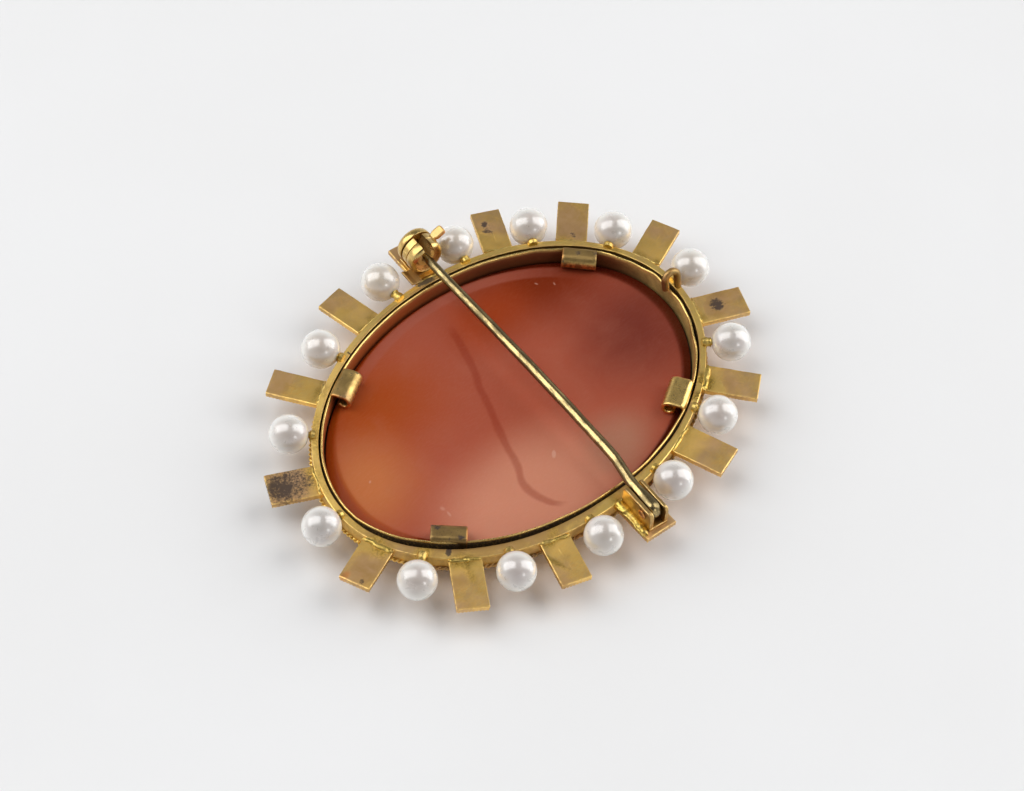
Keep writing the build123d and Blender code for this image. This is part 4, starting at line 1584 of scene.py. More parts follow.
@dataclass(frozen=True)
class Collet:
    """Thin hand-cut wall round the stone, its edge wavy, with four tabs curled over on to the stone."""

    outer: Oval = Oval(17.90, 12.94)
    thickness: float = 0.30
    bottom: float = 1.35
    top: float = 3.36
    tabs: tuple[Tab, ...] = (Tab(30.2, 0.80), Tab(122.5, 0.95), Tab(-54.7, 1.15), Tab(-146.5, 1.50))
    tab_film: tuple[float, ...] = (0.80, 0.45, 0.05, 1.00)
    # tab_shine: painted highlight on each tab's flat
    tab_shine: tuple[float, ...] = (0.0, 0.1, 0.6, 0.0)
    tab_width: float = 3.0
    tab_sheet: float = 0.30
    tab_rise: float = BACK_Z + 0.42
    tab_nose: float = 0.62
    tab_inset: float = 0.06
    elbow: float = 0.30
    curl: float = 0.95

    def edge_wave(self, turn: np.ndarray) -> tuple[np.ndarray, np.ndarray]:
        """Height and sideways drift of the free edge round the oval.

        Slow sine sums, stronger on the sides between the first tab and the third, where the
        edge was nipped.

        Args:
            turn: ellipse parameters.

        Returns:
            Height to add and outward drift, mm.
        """
        nipped = np.exp(-((np.angle(np.exp(1j * (turn - math.radians(-5)))) / 0.75) ** 2))
        ripple = np.sin(23 * turn + 1.3) + 0.6 * np.sin(41 * turn + 0.4) + 0.5 * np.sin(13 * turn + 2.2)
        height = -0.02 + 0.016 * ripple * (0.5 + 1.6 * nipped) + 0.03 * np.sin(3 * turn + 0.6)
        drift = 0.022 * (np.sin(17 * turn + 0.8) + 0.7 * np.sin(31 * turn + 2.0)) * (0.4 + 1.8 * nipped)
        return height, drift

    def wall(self) -> Skin:
        """Wall section carried round: up outside, over the thin wavy edge and down inside."""
        turn = np.linspace(0, 2 * np.pi, 960, endpoint=False)[:, None]
        height, drift = self.edge_wave(turn)
        full = self.thickness
        rows = np.array([(0.02, 0.0), (0.0, 0.05), (0.0, 0.4), (0.0, 0.7), (0.0, 0.9), (0.03, 0.975),
                         (0.075, 1.0), (0.125, 1.0), (0.17, 0.985), (0.21, 0.95), (0.27, 0.85),
                         (full, 0.7), (full, 0.5), (full, 0.3), (full, 0.03), (full - 0.02, 0.0)])
        inward, share = rows[:, 0], rows[:, 1]
        bend = ease(share, 0.35, 1.0)
        shift = drift * bend - inward + FLARE.at(turn)
        x = (self.outer.long + shift) * np.cos(turn)
        y = (self.outer.short + shift) * np.sin(turn)
        z = self.bottom + share * (self.top - self.bottom) + height * bend
        skin = lattice(np.stack([x, y, z], axis=-1), wrap_rows=True)
        lip = np.broadcast_to(ease(share, 0.93, 0.99), x.shape).ravel()
        skin.paint(Mark.BRIGHT, 0.6 * lip)
        # painted shade on the outer face below the lip, down in the groove
        outside = np.broadcast_to((inward < 0.02) & (share < 0.93), x.shape).ravel()
        skin.paint(Mark.SOOT, 0.75 * outside)
        inside = np.broadcast_to((inward > 0.2) & (share < 0.93), x.shape).ravel()
        deep = np.broadcast_to((inward > 0.2) * (1 - 0.6 * ease(share, 0.6, 0.93)), x.shape).ravel()
        # painted reflection of the stone on the inner face: red-brown, amber towards the left, fading towards
        # the right
        across = (0.69 * x - 0.72 * y).ravel()
        right = ease(across, 8.0, 14.0)
        skin.paint("glow", (0.94 - 0.78 * right) * inside)
        skin.paint("amber", ease(-across, 1.0, 11.0))
        skin.paint(Mark.MATT, (0.90 - 0.40 * right) * inside)
        return skin.paint(Mark.TARNISH, 0.45 * deep * (1 - 0.7 * right))

    def tab(self, row: Tab, seed: int, film: float, shine: float) -> Skin:
        """Strip that rises from the wall, bends over and rolls down to the stone.

        Its middle line is a straight rise, a quarter turn, a level run and a half turn of the
        nose, given thickness to both sides; the width is the other direction of the grid.

        Args:
            row: its place and reach.
            seed: of its dents.
            film: how tarnished it is, 0 to 1.
            shine: how strong the painted highlight on its flat is, 0 to 1.

        Returns:
            The tab.
        """
        middle = self.tab_sheet / 2 + self.tab_inset
        half = self.tab_sheet / 2
        quarter = np.linspace(np.pi, np.pi / 2, 9)
        roll = np.linspace(np.pi / 2, -np.pi / 2 - self.curl, 34)
        tighten = 1 - 0.30 * ease(-roll, 0.6, np.pi / 2 + self.curl)
        rise, nose = self.tab_rise - half, self.tab_nose
        lean = float(FLARE.at(np.radians(row.angle)))
        reach = row.reach + lean
        path = np.concatenate([
            np.column_stack([np.full(8, middle), np.linspace(BACK_Z - 0.60, rise - self.elbow, 8)]),
            np.column_stack([middle + self.elbow + self.elbow * np.cos(quarter),
                             rise - self.elbow + self.elbow * np.sin(quarter)]),
            np.column_stack([np.linspace(middle + self.elbow + 0.05, reach - 0.04, 6), np.full(6, rise)]),
            np.column_stack([reach + (nose - half * 0.2) * tighten * np.cos(roll),
                             rise - nose + nose * tighten * np.sin(roll)]),
        ])
        path = path[np.concatenate([[True], np.linalg.norm(np.diff(path, axis=0), axis=1) > 1e-4])]
        along = np.gradient(path, axis=0)
        along /= np.linalg.norm(along, axis=1, keepdims=True)
        side = np.column_stack([-along[:, 1], along[:, 0]])
        section = rounded_outline(self.tab_width / 2, half, 0.09, 18)
        sag = 0.02 * np.sin(np.linspace(0, 3, len(path)) + seed)
        y = section[None, :, 0] * (1 + sag[:, None])
        x = path[:, 0, None] + side[:, 0, None] * section[None, :, 1]
        z = path[:, 1, None] + side[:, 1, None] * section[None, :, 1]
        points = np.stack([-x, y, z], axis=-1)
        skin = lattice(points)
        skin.points[:, 2] += 0.015 * Grain(1.3, seed).at(skin.points)
        run = np.concatenate([np.repeat(np.linspace(0, 1, len(path)), section.shape[0]), [0, 1]])
        # painted highlight along the bend of the nose, plus the painted shine on the flat
        skin.paint(Mark.BRIGHT, 0.8 * np.exp(-(((run - 0.62) / 0.10) ** 2)) + shine)
        skin.paint(Mark.TARNISH, film * (0.55 + 0.45 * ease(Grain(1.6, seed + 3).at(skin.points), -0.4, 0.5)))
        spots = 0.50 * ease(Grain(0.9, seed + 5).at(skin.points), 0.25, 0.9)
        skin.paint(Mark.SOOT, spots + 0.25 * ease(film, 0.7, 1.0))
        skin.paint(Mark.COPPER, 0.6 * ease(skin.points[:, 1], self.tab_width / 2 - 0.10, self.tab_width / 2))
        return place_skin(skin, Seat(row.angle, lean, oval=self.outer))

    def build(self, palette: Palette) -> list[bpy.types.Object]:
        """Make the wall and the tabs.

        Args:
            palette: the finishes.

        Returns:
            The pieces.
        """
        wall = Piece("collet_wall", Body.BROOCH, Slot.GILT, ("collet",), palette.collet, crease=60)
        folded = replace(wall, name="collet_tabs", crease=50)
        tabs = join([self.tab(row, 300 + number, self.tab_film[number], self.tab_shine[number])
                     for number, row in enumerate(self.tabs)])
        return [wall.make(self.wall()), folded.make(tabs)]


@dataclass(frozen=True)
class CameoStone:
    """Oval shell: dished polished back, sloped shoulder, girdle, and a domed front with a raised flower."""

    back_flat: Oval = Oval(16.45, 12.25)
    back_z: float = BACK_Z - 1.10
    dish_radius: float = 11.6
    dish_depth: float = 0.50
    dome: tuple[tuple[float, float, float], ...] = (
        (17.50, 12.50, 1.42), (17.40, 12.40, 1.40), (16.60, 11.70, 1.39), (15.40, 10.70, 1.05),
        (12.40, 8.50, 0.72), (7.00, 4.80, 0.52), (0.02, 0.014, 0.50))
    shoulder: tuple[tuple[float, float, float], ...] = (
        (16.52, 12.265, -0.022), (16.75, 12.32, -0.10), (17.10, 12.405, -0.20), (17.40, 12.475, -0.29),
        (17.48, 12.495, -0.32), (17.50, 12.50, -0.36), (17.50, 12.50, -0.60))
    petals: int = 6
    columns: int = 420

    def back_height(self, x: np.ndarray, y: np.ndarray) -> np.ndarray:
        """Back face: flat near the edge and a shallow round bowl inside the dish radius."""
        share = np.clip(np.hypot(x, y) / self.dish_radius, 0, 1)
        return self.back_z - self.dish_depth * (1 - share**2)

    def flower(self, x: np.ndarray, y: np.ndarray) -> np.ndarray:
        """Height of the carving: six cupped petals round a beaded heart, with a leafy stem each side.

        A petal is an oval cap with a crease down its middle; a leaf is a narrow cap with a vein;
        the largest cap at a point counts.

        Args:
            x: places along the long axis.
            y: places along the short axis.

        Returns:
            Height above the dome as a share of the deepest relief.
        """
        def cap(cx: float, cy: float, long: float, short: float, turn: float, high: float) -> np.ndarray:
            """One oval cap, 1 - d^4, creased along its length."""
            dx, dy = x - cx, y - cy
            u = (math.cos(turn) * dx + math.sin(turn) * dy) / long
            v = (-math.sin(turn) * dx + math.cos(turn) * dy) / short
            body = np.clip(1 - (u**2 + v**2) ** 2, 0, 1) ** 0.6
            crease = 0.20 * np.exp(-((v / 0.10) ** 2)) * np.clip(1 - u**2, 0, 1)
            return high * np.clip(body - crease * (body > 0), 0, 1)

        tall = np.zeros_like(x)
        for step in range(self.petals):
            turn = 2 * math.pi * step / self.petals
            tall = np.maximum(tall, cap(3.7 * math.cos(turn), 3.7 * math.sin(turn), 2.5, 1.75, turn, 1.0))
        reach = np.hypot(x, y)
        heart = 0.92 * np.clip(1 - (reach / 1.7) ** 4, 0, 1) ** 0.5
        beads = 0.10 * np.cos(9 * np.arctan2(y, x)) * np.exp(-(((reach - 1.1) / 0.35) ** 2))
        tall = np.maximum(tall, heart + beads * (heart > 0.3))
        for side in (-1, 1):
            tall = np.maximum(tall, cap(side * 9.4, 0.0, 3.7, 0.36, 0.0, 0.45))
            for step in range(3):
                for lean in (-1, 1):
                    way = math.radians(lean * 50 if side > 0 else 180 - lean * 50)
                    cx = side * (7.2 + 1.9 * step) + 1.5 * math.cos(way)
                    tall = np.maximum(tall, cap(cx, 1.5 * math.sin(way), 1.75, 0.70, way, 0.72 - 0.08 * step))
        return tall

    def build(self, palette: Palette) -> bpy.types.Object:
        """Carry rings from the back's middle out over the shoulder and girdle and in over the front.

        Args:
            palette: the finishes.

        Returns:
            The piece.
        """
        turn = np.linspace(0, 2 * np.pi, self.columns, endpoint=False)[None, :]
        shares = np.concatenate([np.linspace(0.003, 0.97, 60), [0.985, 0.995, 1.0]])
        long_ends, short_ends, slope = np.array(self.shoulder).T
        long = np.concatenate([shares * self.back_flat.long, long_ends])
        short = np.concatenate([shares * self.back_flat.short, short_ends])
        drop = np.concatenate([np.zeros(len(shares)), slope])
        front = np.array(self.dome)
        share = np.linspace(0, 1, 110) ** 0.8
        node = np.linspace(0, 1, len(front))
        reach, reach_y, level = (np.interp(share, node, column) for column in front.T)
        widen = np.concatenate([ease(shares, 0.90, 1.0) * 0.5, np.full(len(slope), 1.0),
                                1 - ease(share, 0.0, 0.10)])[:, None] * 0.85 * FLARE.at(turn)
        x = (np.concatenate([long, reach])[:, None] + widen) * np.cos(turn)
        y = (np.concatenate([short, reach_y])[:, None] + widen) * np.sin(turn)
        back = self.back_height(x, y) + np.concatenate([drop, np.zeros(len(reach))])[:, None]
        carve = self.flower(x, y)
        dome = np.concatenate([np.zeros(len(long)), level])[:, None] * np.ones_like(turn)
        raised = dome * (1 - carve)
        is_front = (np.arange(len(x)) >= len(long))[:, None]
        z = np.where(is_front, raised, back)
        skin = lattice(np.stack([x, y, z], axis=-1))
        rows = np.arange(len(x))[:, None] * np.ones_like(turn)
        place = np.concatenate([shares, np.ones(len(slope)), np.zeros(len(reach))])[:, None]
        # shoulder rows carry the painted shade and the painted amber light
        shoulder = ease(rows, len(shares) - 3, len(shares) + 1) * (rows < len(long) + 3)
        # paler band on the far side: painted reflection
        band = (ease(place, 0.925, 0.937) * (rows < len(shares)) * ease(0.56 * x + 0.57 * y, -1.0, 5.0)
                * (1 - ease(0.69 * x - 0.72 * y, -2.0, 8.0)))
        # left side: painted amber light through the shell
        amber = ease(0.72 * y - 0.69 * x, 1.0, 11.0)
        pale = np.where(is_front, ease(carve, 0.04, 0.30), 0.0)
        painted = {"shoulder": (shoulder, 0.0), "band": (band, 0.0), "amber": (amber, 0.0),
                   "front": (is_front * np.ones_like(turn), 1.0), "carving": (pale, 1.0)}
        for name, (values, front_middle) in painted.items():
            skin.paint(name, np.concatenate([values.ravel(), [0.0, front_middle]]))
        shell = Piece("cameo_shell", Body.BROOCH, Slot.STONE, ("cameo_stone",), palette.stone, crease=70)
        return shell.make(skin)


@dataclass(frozen=True)
class HingeBracket:
    """Two ears on a plate over the hinge bar, with a ridge of solder along one side."""

    near: tuple[float, float] = (-1.00, -0.60)
    far: tuple[float, float] = (0.58, 0.90)
    start: float = -1.10
    end: float = 2.62
    near_top: float = BACK_Z + 1.95
    far_top: float = BACK_Z + 1.85
    base: float = BACK_Z - 0.10
    plate_top: float = BACK_Z + 0.12
    corner: float = 0.45

    def ear(self, span: tuple[float, float], top: float, seed: int) -> Skin:
        """Upright slab: outline in Y and Z, thickness along X.

        Args:
            span: its X on both faces.
            top: its height.
            seed: of its unevenness.

        Returns:
            The ear.
        """
        height = top - self.base
        inner, outer = span
        slab = Slab(self.end - self.start, height, outer - inner, corner=self.corner, soft=0.07, per_side=30)
        skin = slab.skin()
        px, py, pz = skin.points.T
        middle = (self.start + self.end) / 2
        skin.points = np.column_stack([outer + pz, middle + px, self.base + height / 2 + py])
        skin.points[:, 0] += 0.015 * Grain(1.4, seed).at(skin.points)
        return skin

    def build(self, palette: Palette) -> bpy.types.Object:
        """Join the ears and the plate and lay the solder ridge.

        Args:
            palette: the finishes.

        Returns:
            The piece.
        """
        left, right = self.near[0], self.far[1]
        plate = Slab(self.end - self.start, right - left, self.plate_top - self.base, soft=0.06, per_side=30)
        skins = [plate.laid((left + right) / 2, (self.start + self.end) / 2, self.plate_top),
                 self.ear(self.near, self.near_top, 401), self.ear(self.far, self.far_top, 402)]
        skin = place_skin(join(skins), PIN)
        skin.paint(Mark.TARNISH, 0.35 + 0.4 * ease(Grain(1.8, 403).at(skin.points), -0.2, 0.6))
        skin.paint(Mark.SOLDER, 0.25 * ease(4.2 - skin.points[:, 2], 0.0, 0.8))
        return soldered("hinge_bracket", palette.fittings, skin)

    def ridge(self, palette: Palette) -> bpy.types.Object:
        """Run an uneven half-round bead of solder along the bracket's foot and the hinge bar's edge.

        Args:
            palette: the finishes.

        Returns:
            The piece.
        """
        skins = []
        rng = np.random.default_rng(21)
        runs = ((self.near[0] - 0.24, -1.30, 3.0, 0.34), (self.near[0] - 0.52, -1.45, 2.7, 0.16),
                (self.far[1] - 0.02, -0.6, 3.9, 0.20))
        for side, start, end, wide in runs:
            run = np.linspace(start, end, 90)
            path = np.column_stack([side + 0.05 * np.sin(2.3 * run), run, np.full(90, BACK_Z - 0.04)])
            swell = 1 + 0.18 * Grain(1.1, int(rng.integers(1e6))).at(path)
            taper = ease(run, start, start + 0.5) * (1 - ease(run, end - 0.5, end)) + 0.15
            radii = np.column_stack([wide * swell * taper, 0.75 * wide * swell * taper])
            tube = ring_tube(path, radii, sides=20)
            tube.points[:, 2] += 0.03 * Grain(0.9, int(rng.integers(1e6))).at(tube.points)
            skins.append(tube)
        skin = place_skin(join(skins), PIN).paint(Mark.SOLDER, 1.0)
        return soldered("hinge_solder", palette.solder, skin)


@dataclass(frozen=True)
class HingeRivet:
    """Rivet through the ears, its ends spread into low heads."""

    radius: float = 0.30
    head_radius: float = 0.45
    head: float = 0.14
    near: float = -1.04
    far: float = 0.94

    def build(self, palette: Palette) -> bpy.types.Object:
        """Turn the rivet's profile, with a domed head at each end, and lay it across the pin line.

        Args:
            palette: the finishes.

        Returns:
            The piece.
        """
        wide, thin = self.head_radius, self.radius
        head = [(0.02, 1.0), (0.5 * wide, 0.95), (0.85 * wide, 0.6), (wide, 0.2), (wide, 0.0), (thin, 0.0)]
        profile = [(radius, self.near - out * self.head) for radius, out in head]
        profile += [(radius, self.far + out * self.head) for radius, out in reversed(head)]
        points = lathe(profile, sides=40)[..., [1, 0, 2]]
        points[..., 2] += PIN.rivet_z
        skin = place_skin(lattice(points), PIN).paint(Mark.COPPER, 0.9)
        return Piece("rivet_pin", Body.BROOCH, Slot.PIN, ("hinge_rivet",), palette.pin).make(skin)


@dataclass(frozen=True)
class PinStem:
    """Drawn wire with a sharpened tip and a flattened eye curled round the rivet."""

    length: float = 32.75
    root_radius: float = 0.48
    radius: float = 0.46
    catch_radius: float = 0.38
    tip_radius: float = 0.05
    straight_to: float = 15.0
    sharpen_from: float = 31.0
    eye_radius: float = 0.595
    eye_thick: float = 0.25
    eye_wide: float = 0.50
    eye_sweep: float = 268.0
    flatten_to: float = 2.2
    bow: tuple[tuple[float, float], ...] = ((2.5, 0.0), (3.0, 0.03), (5.4, 0.42), (6.4, 0.45), (12.0, 0.43),
                                            (17.0, 0.36), (22.0, 0.22), (27.0, 0.06), (30.0, 0.0))

    def build(self, palette: Palette) -> bpy.types.Object:
        """Carry the section from the tip to the rivet and round it.

        The path is straight at the pin's height, eases up on to a circle round the rivet and
        follows it over the top and down outside; the round section flattens as it does.

        Args:
            palette: the finishes.

        Returns:
            The piece.
        """
        run = np.concatenate([np.linspace(self.length, self.sharpen_from, 14)[:-1],
                              np.linspace(self.sharpen_from, self.flatten_to, 150)[:-1],
                              np.linspace(self.flatten_to, 0.0, 16)])
        eased = 1 - ease(run, 0.0, self.flatten_to)
        top = PIN.rivet_z + self.eye_radius
        height = PIN.axis_z + (top - PIN.axis_z) * eased
        straight = np.column_stack([np.zeros_like(run), run, height])
        sweep = np.linspace(np.pi / 2, np.pi / 2 + math.radians(self.eye_sweep), 60)[1:]
        eye = np.column_stack([np.zeros_like(sweep), self.eye_radius * np.cos(sweep),
                               PIN.rivet_z + self.eye_radius * np.sin(sweep)])
        path = np.concatenate([straight, eye])
        wide = np.interp(run, [0, self.flatten_to, 5, self.straight_to, self.sharpen_from, self.length],
                         [self.eye_wide, self.root_radius, self.radius, self.radius, self.catch_radius,
                          self.tip_radius])
        swell = (self.root_radius - self.eye_thick) * ease(run, 0, self.flatten_to)
        thick = np.where(run < self.flatten_to, self.eye_thick + swell, wide)
        radii = np.concatenate([np.column_stack([wide, thick]),
                                np.column_stack([np.full(len(sweep), self.eye_wide),
                                                 np.full(len(sweep), self.eye_thick)])])
        along = np.gradient(path, axis=0)
        along /= np.linalg.norm(along, axis=1, keepdims=True)
        across = np.array([1.0, 0, 0])
        rise = np.cross(np.broadcast_to(across, along.shape), along)
        v = np.linspace(0, 2 * np.pi, 40, endpoint=False)
        ring = (radii[:, 0, None, None] * np.cos(v)[None, :, None] * across
                + radii[:, 1, None, None] * np.sin(v)[None, :, None] * rise[:, None, :])
        skin = lattice(path[:, None, :] + ring)
        wave = 0.012 * Grain(3.0, 500).at(skin.points)
        bow = np.interp(skin.points[:, 1], *np.array(self.bow).T)
        skin.points[:, 0] += wave * ease(skin.points[:, 1], 4, 8) + bow
        reach = skin.points[:, 1]
        skin.paint(Mark.SOOT, 0.16 * ease(reach, 14, 24) + 0.12 * (1 - ease(reach, 4, 9)))
        # painted shade down both flanks of the wire, leaving a narrow lit strip
        shaded_flanks = 0.42 * ease(np.cos(v), 0.20, 0.62) + 0.30 * ease(-np.cos(v), 0.72, 0.95)
        skin.paint(Mark.SOOT, np.concatenate([np.tile(shaded_flanks, len(path)), [0, 0]]))
        skin = place_skin(skin, PIN)
        return Piece("pin_wire", Body.PIN, Slot.PIN, ("pin_stem",), palette.pin, crease=60).make(skin)


@dataclass(frozen=True)
class CatchHousing:
    """Front ring and domed rear cap of the revolving catch on its foot, the mouth on top."""

    radius: float = 1.62
    front: float = 31.20
    front_end: float = 32.22
    cap_start: float = 33.04
    cap_end: float = 33.90
    bore: float = 0.93
    recess: float = 1.25
    recess_depth: float = 0.42
    half_slot: float = 0.44
    chamfer: float = 0.28
    foot_width: float = 2.40
    foot_top: float = BACK_Z + 0.02
    flap_sides: tuple[float, float] = (-2.10, -0.95)
    flap_run: tuple[float, float] = (30.60, 32.25)
    flap_lift: float = 0.26
    sheet: float = 0.22
    saddle_width: float = 1.5

    def build(self, palette: Palette) -> bpy.types.Object:
        """Turn the ring and the cap, add the foot and the saddle, and colour the recess copper.

        Args:
            palette: the finishes.

        Returns:
            The piece.
        """
        r, front, end, cut = self.radius, self.front, self.front_end, self.chamfer
        recess, bore = self.recess, self.bore
        profile = [
            (recess, front + self.recess_depth), (recess, front + 0.05), (recess + 0.04, front + 0.01),
            (r - cut - 0.03, front), (r - cut + 0.02, front + 0.02), (r - 0.10, front + cut - 0.12),
            (r - 0.02, front + cut - 0.02), (r, front + cut + 0.04), (r, end - 0.05), (r - 0.03, end - 0.01),
            (r - 0.06, end), (bore, end), (bore, front + self.recess_depth)]
        ring = open_ring(profile, self.half_slot, sides=96)
        depth = ring.points[:, 1]
        reach = np.hypot(ring.points[:, 0], ring.points[:, 2])
        inside = (reach < recess + 0.02) * (depth > front + 0.03)
        ring.paint(Mark.COPPER, 0.45 * inside * (depth < end - 0.1)).paint(Mark.MATT, 0.65 * inside)
        # painted highlight along the front ring's chamfer
        ring.paint(Mark.BRIGHT, np.exp(-(((reach - r + 0.16) / 0.12) ** 2)) * (depth < front + cut))
        back = self.cap_start
        dome = [(0.02, back + 0.42), (bore - 0.02, back + 0.42), (bore, back + 0.40), (bore, back),
                (r - 0.06, back), (r - 0.015, back + 0.015), (r, back + 0.06)]
        rise = self.cap_end - back - 0.22
        dome += [(max((r - 0.55) + 0.55 * math.cos(a), 0.02), self.cap_end - rise + rise * math.sin(a))
                 for a in np.linspace(0, np.pi / 2, 14)]
        dome += [(0.7, self.cap_end + 0.002), (0.35, self.cap_end + 0.004), (0.02, self.cap_end + 0.004)]
        cap = lattice(lathe(dome, sides=72))
        turned = [ring, cap]
        for skin in turned:
            skin.points[:, 2] += PIN.axis_z
        foot = Slab(self.cap_end - front - 0.2, self.foot_width, self.sheet, soft=0.07, per_side=30).laid(
            0.0, (front + self.cap_end) / 2, self.foot_top)
        foot.paint(Mark.TARNISH, 0.60)
        (left, right), (low, high) = self.flap_sides, self.flap_run
        flap = Slab(high - low, right - left, self.sheet, soft=0.07, per_side=30).laid(
            (left + right) / 2, (low + high) / 2, self.foot_top + 0.06)
        flap.points[:, 2] += self.flap_lift * ease(-flap.points[:, 0], 1.45, 2.05)
        flap.paint(Mark.TARNISH, 0.5).paint(Mark.MATT, 0.25)
        saddles = []
        base = BACK_Z - 0.20
        for start, stop, top in ((front + self.recess_depth, self.cap_end - 0.62, PIN.axis_z - 1.60),
                                 (front + self.recess_depth, front + 1.02, PIN.axis_z - 1.13),
                                 (back, self.cap_end - 0.62, PIN.axis_z - 1.13)):
            block = Slab(stop - start, self.saddle_width, top - base, soft=0.05, per_side=12)
            block = block.laid(0.0, (start + stop) / 2, top)
            saddles.append(block.paint(Mark.MATT, 0.5).paint(Mark.TARNISH, 0.45))
        skin = place_skin(join([*turned, foot, flap, *saddles]), PIN)
        skin.points += 0.006 * Grain(1.5, 601).at(skin.points)[:, None]
        skin.paint(Mark.TARNISH, 0.25 * ease(Grain(1.6, 602).at(skin.points), 0.0, 0.8))
        return soldered("catch_housing", palette.fittings, skin)


@dataclass(frozen=True)
class CatchRotor:
    """Turning ring with its inner tube and its lever."""

    radius: float = 1.56
    tube: float = 0.88
    half_slot: float = 0.44
    tube_start: float = 31.50
    start: float = 32.28
    end: float = 32.92
    tube_end: float = 33.40
    lever_angle: float = 25.0
    lever_length: float = 1.18
    lever_neck: float = 0.16
    lever_width: float = 0.84
    lever_thick: float = 0.46

    def lever(self) -> Skin:
        """Flat paddle that widens beyond the ring and rounds off at its end.

        The section is a soft-cornered square scaled at each station to the paddle's width and
        thickness, and carried outwards along the lever's direction.

        Returns:
            The lever, its end and edges coppery.
        """
        share = np.concatenate([np.linspace(0, 0.26, 10), np.linspace(0.30, 0.82, 14),
                                np.linspace(0.84, 1.0, 14)])
        run = self.radius - 0.30 + share * (self.lever_length + 0.30)
        neck = (self.end - self.start) / 2
        widen = ease(run, self.radius + self.lever_neck - 0.08, self.radius + self.lever_neck + 0.14)
        tip = np.sqrt(np.clip(1 - np.clip((share - 0.84) / 0.16, 0, 1) ** 2.4, 0, 1))
        wide = (neck + (self.lever_width / 2 - neck) * widen) * (0.45 + 0.55 * tip)
        thick = self.lever_thick / 2 * (0.72 + 0.28 * tip)
        section = rounded_outline(1.0, 1.0, 0.35, 10)
        y = (self.start + self.end) / 2 + section[None, :, 0] * wide[:, None]
        across = section[None, :, 1] * thick[:, None]
        turn = math.radians(self.lever_angle)
        x = run[:, None] * math.cos(turn) - across * math.sin(turn)
        z = run[:, None] * math.sin(turn) + across * math.cos(turn)
        skin = lattice(np.stack([x, y, z], axis=-1))
        reach = np.concatenate([np.repeat(run, section.shape[0]), run[[0, -1]]])
        side = np.concatenate([np.tile(-section[:, 0], len(run)), [0, 0]])
        end = ease(reach, self.radius + self.lever_length - 0.12, self.radius + self.lever_length - 0.02)
        skin.paint(Mark.MATT, 0.45)
        return skin.paint(Mark.COPPER, 0.75 * np.maximum(end, ease(side, 0.9, 1.0)))

    def build(self, palette: Palette) -> bpy.types.Object:
        """Carry the rotor's stepped profile round, leaving its slot open at the top, and add the lever.

        Args:
            palette: the finishes.

        Returns:
            The piece.
        """
        r, tube, slot = self.radius, self.tube, self.half_slot + 0.001
        inner, start, end = self.tube_start, self.start, self.end
        profile = [
            (slot, inner + 0.04), (slot + 0.04, inner), (tube - 0.05, inner), (tube, inner + 0.05),
            (tube, start), (r - 0.04, start), (r, start + 0.04), (r, end - 0.04), (r - 0.04, end),
            (tube, end), (tube, self.tube_end), (slot, self.tube_end)]
        body = open_ring(profile, self.half_slot, sides=96)
        reach = np.hypot(body.points[:, 0], body.points[:, 2])
        body.paint(Mark.MATT, 0.7 * (1 - ease(reach, tube, tube + 0.3)))
        body.paint(Mark.COPPER, 0.2 * (reach < tube + 0.01))
        skin = join([body, self.lever()])
        skin.points[:, 2] += PIN.axis_z
        skin = place_skin(skin, PIN)
        skin.paint(Mark.TARNISH, 0.25 * ease(Grain(1.4, 611).at(skin.points), 0.0, 0.8))
        return Piece("catch_ring", Body.CATCH, Slot.GILT, ("catch_rotor",), palette.fittings).make(skin)


@dataclass(frozen=True)
class ChainLoop:
    """Upright wire loop astride the groove, for a safety chain."""

    angle: float = -8.5
    wire: float = 0.33
    half_span: float = 0.64
    leg: float = 1.24
    offset: float = -0.86
    lean: float = 12.0
    groove_foot: float = 0.32
    rim_foot: float = -0.30

    def build(self, palette: Palette) -> bpy.types.Object:
        """Carry the wire up one leg, over a half circle and down the other, then lean it back.

        Args:
            palette: the finishes.

        Returns:
            The piece.
        """
        arch = np.linspace(0, np.pi, 40)
        rise = np.linspace(self.groove_foot, self.leg, 16)[:-1]
        fall = np.linspace(self.leg, self.rim_foot, 14)[1:]
        x = np.concatenate([np.full(len(rise), -self.half_span), -self.half_span * np.cos(arch),
                            np.full(len(fall), self.half_span)])
        z = np.concatenate([rise, self.leg + self.half_span * np.sin(arch), fall])
        path = np.column_stack([x, np.zeros_like(x), z])
        radii = np.full((len(path), 2), self.wire)
        skin = ring_tube(path, radii, sides=22, up=(0, 1, 0))
        turn = math.radians(-self.lean)
        px, py, pz = skin.points.T
        skin.points = np.column_stack([px, math.cos(turn) * py - math.sin(turn) * pz,
                                       math.sin(turn) * py + math.cos(turn) * pz])
        skin.points += 0.008 * Grain(1.0, 701).at(skin.points)[:, None]
        skin.paint(Mark.COPPER, 0.25 * ease(Grain(1.2, 702).at(skin.points), 0.0, 0.6))
        skin.paint(Mark.TARNISH, 0.60)
        place_skin(skin, Seat(self.angle, self.offset, BACK_Z))
        return soldered("chain_loop", palette.collet, skin, crease=60)


@dataclass(frozen=True)
class Softbox:
    """Area light in a direction seen from the brooch."""

    name: str
    way: tuple[float, float, float]
    distance: float
    width: float
    height: float
    power: float
    colour: Colour = (1.0, 1.0, 1.0)

    def hang(self) -> None:
        """Place the light along its direction, facing the brooch."""
        lamp = bpy.data.lights.new(self.name, "AREA")
        lamp.shape = "RECTANGLE"
        lamp.size, lamp.size_y = self.width, self.height
        lamp.energy = self.power
        lamp.color = self.colour
        stand = bpy.data.objects.new(self.name, lamp)
        way = Vector(self.way).normalized()
        stand.location = way * self.distance
        stand.rotation_euler = way.to_track_quat("Z", "Y").to_euler()
        bpy.context.scene.collection.objects.link(stand)


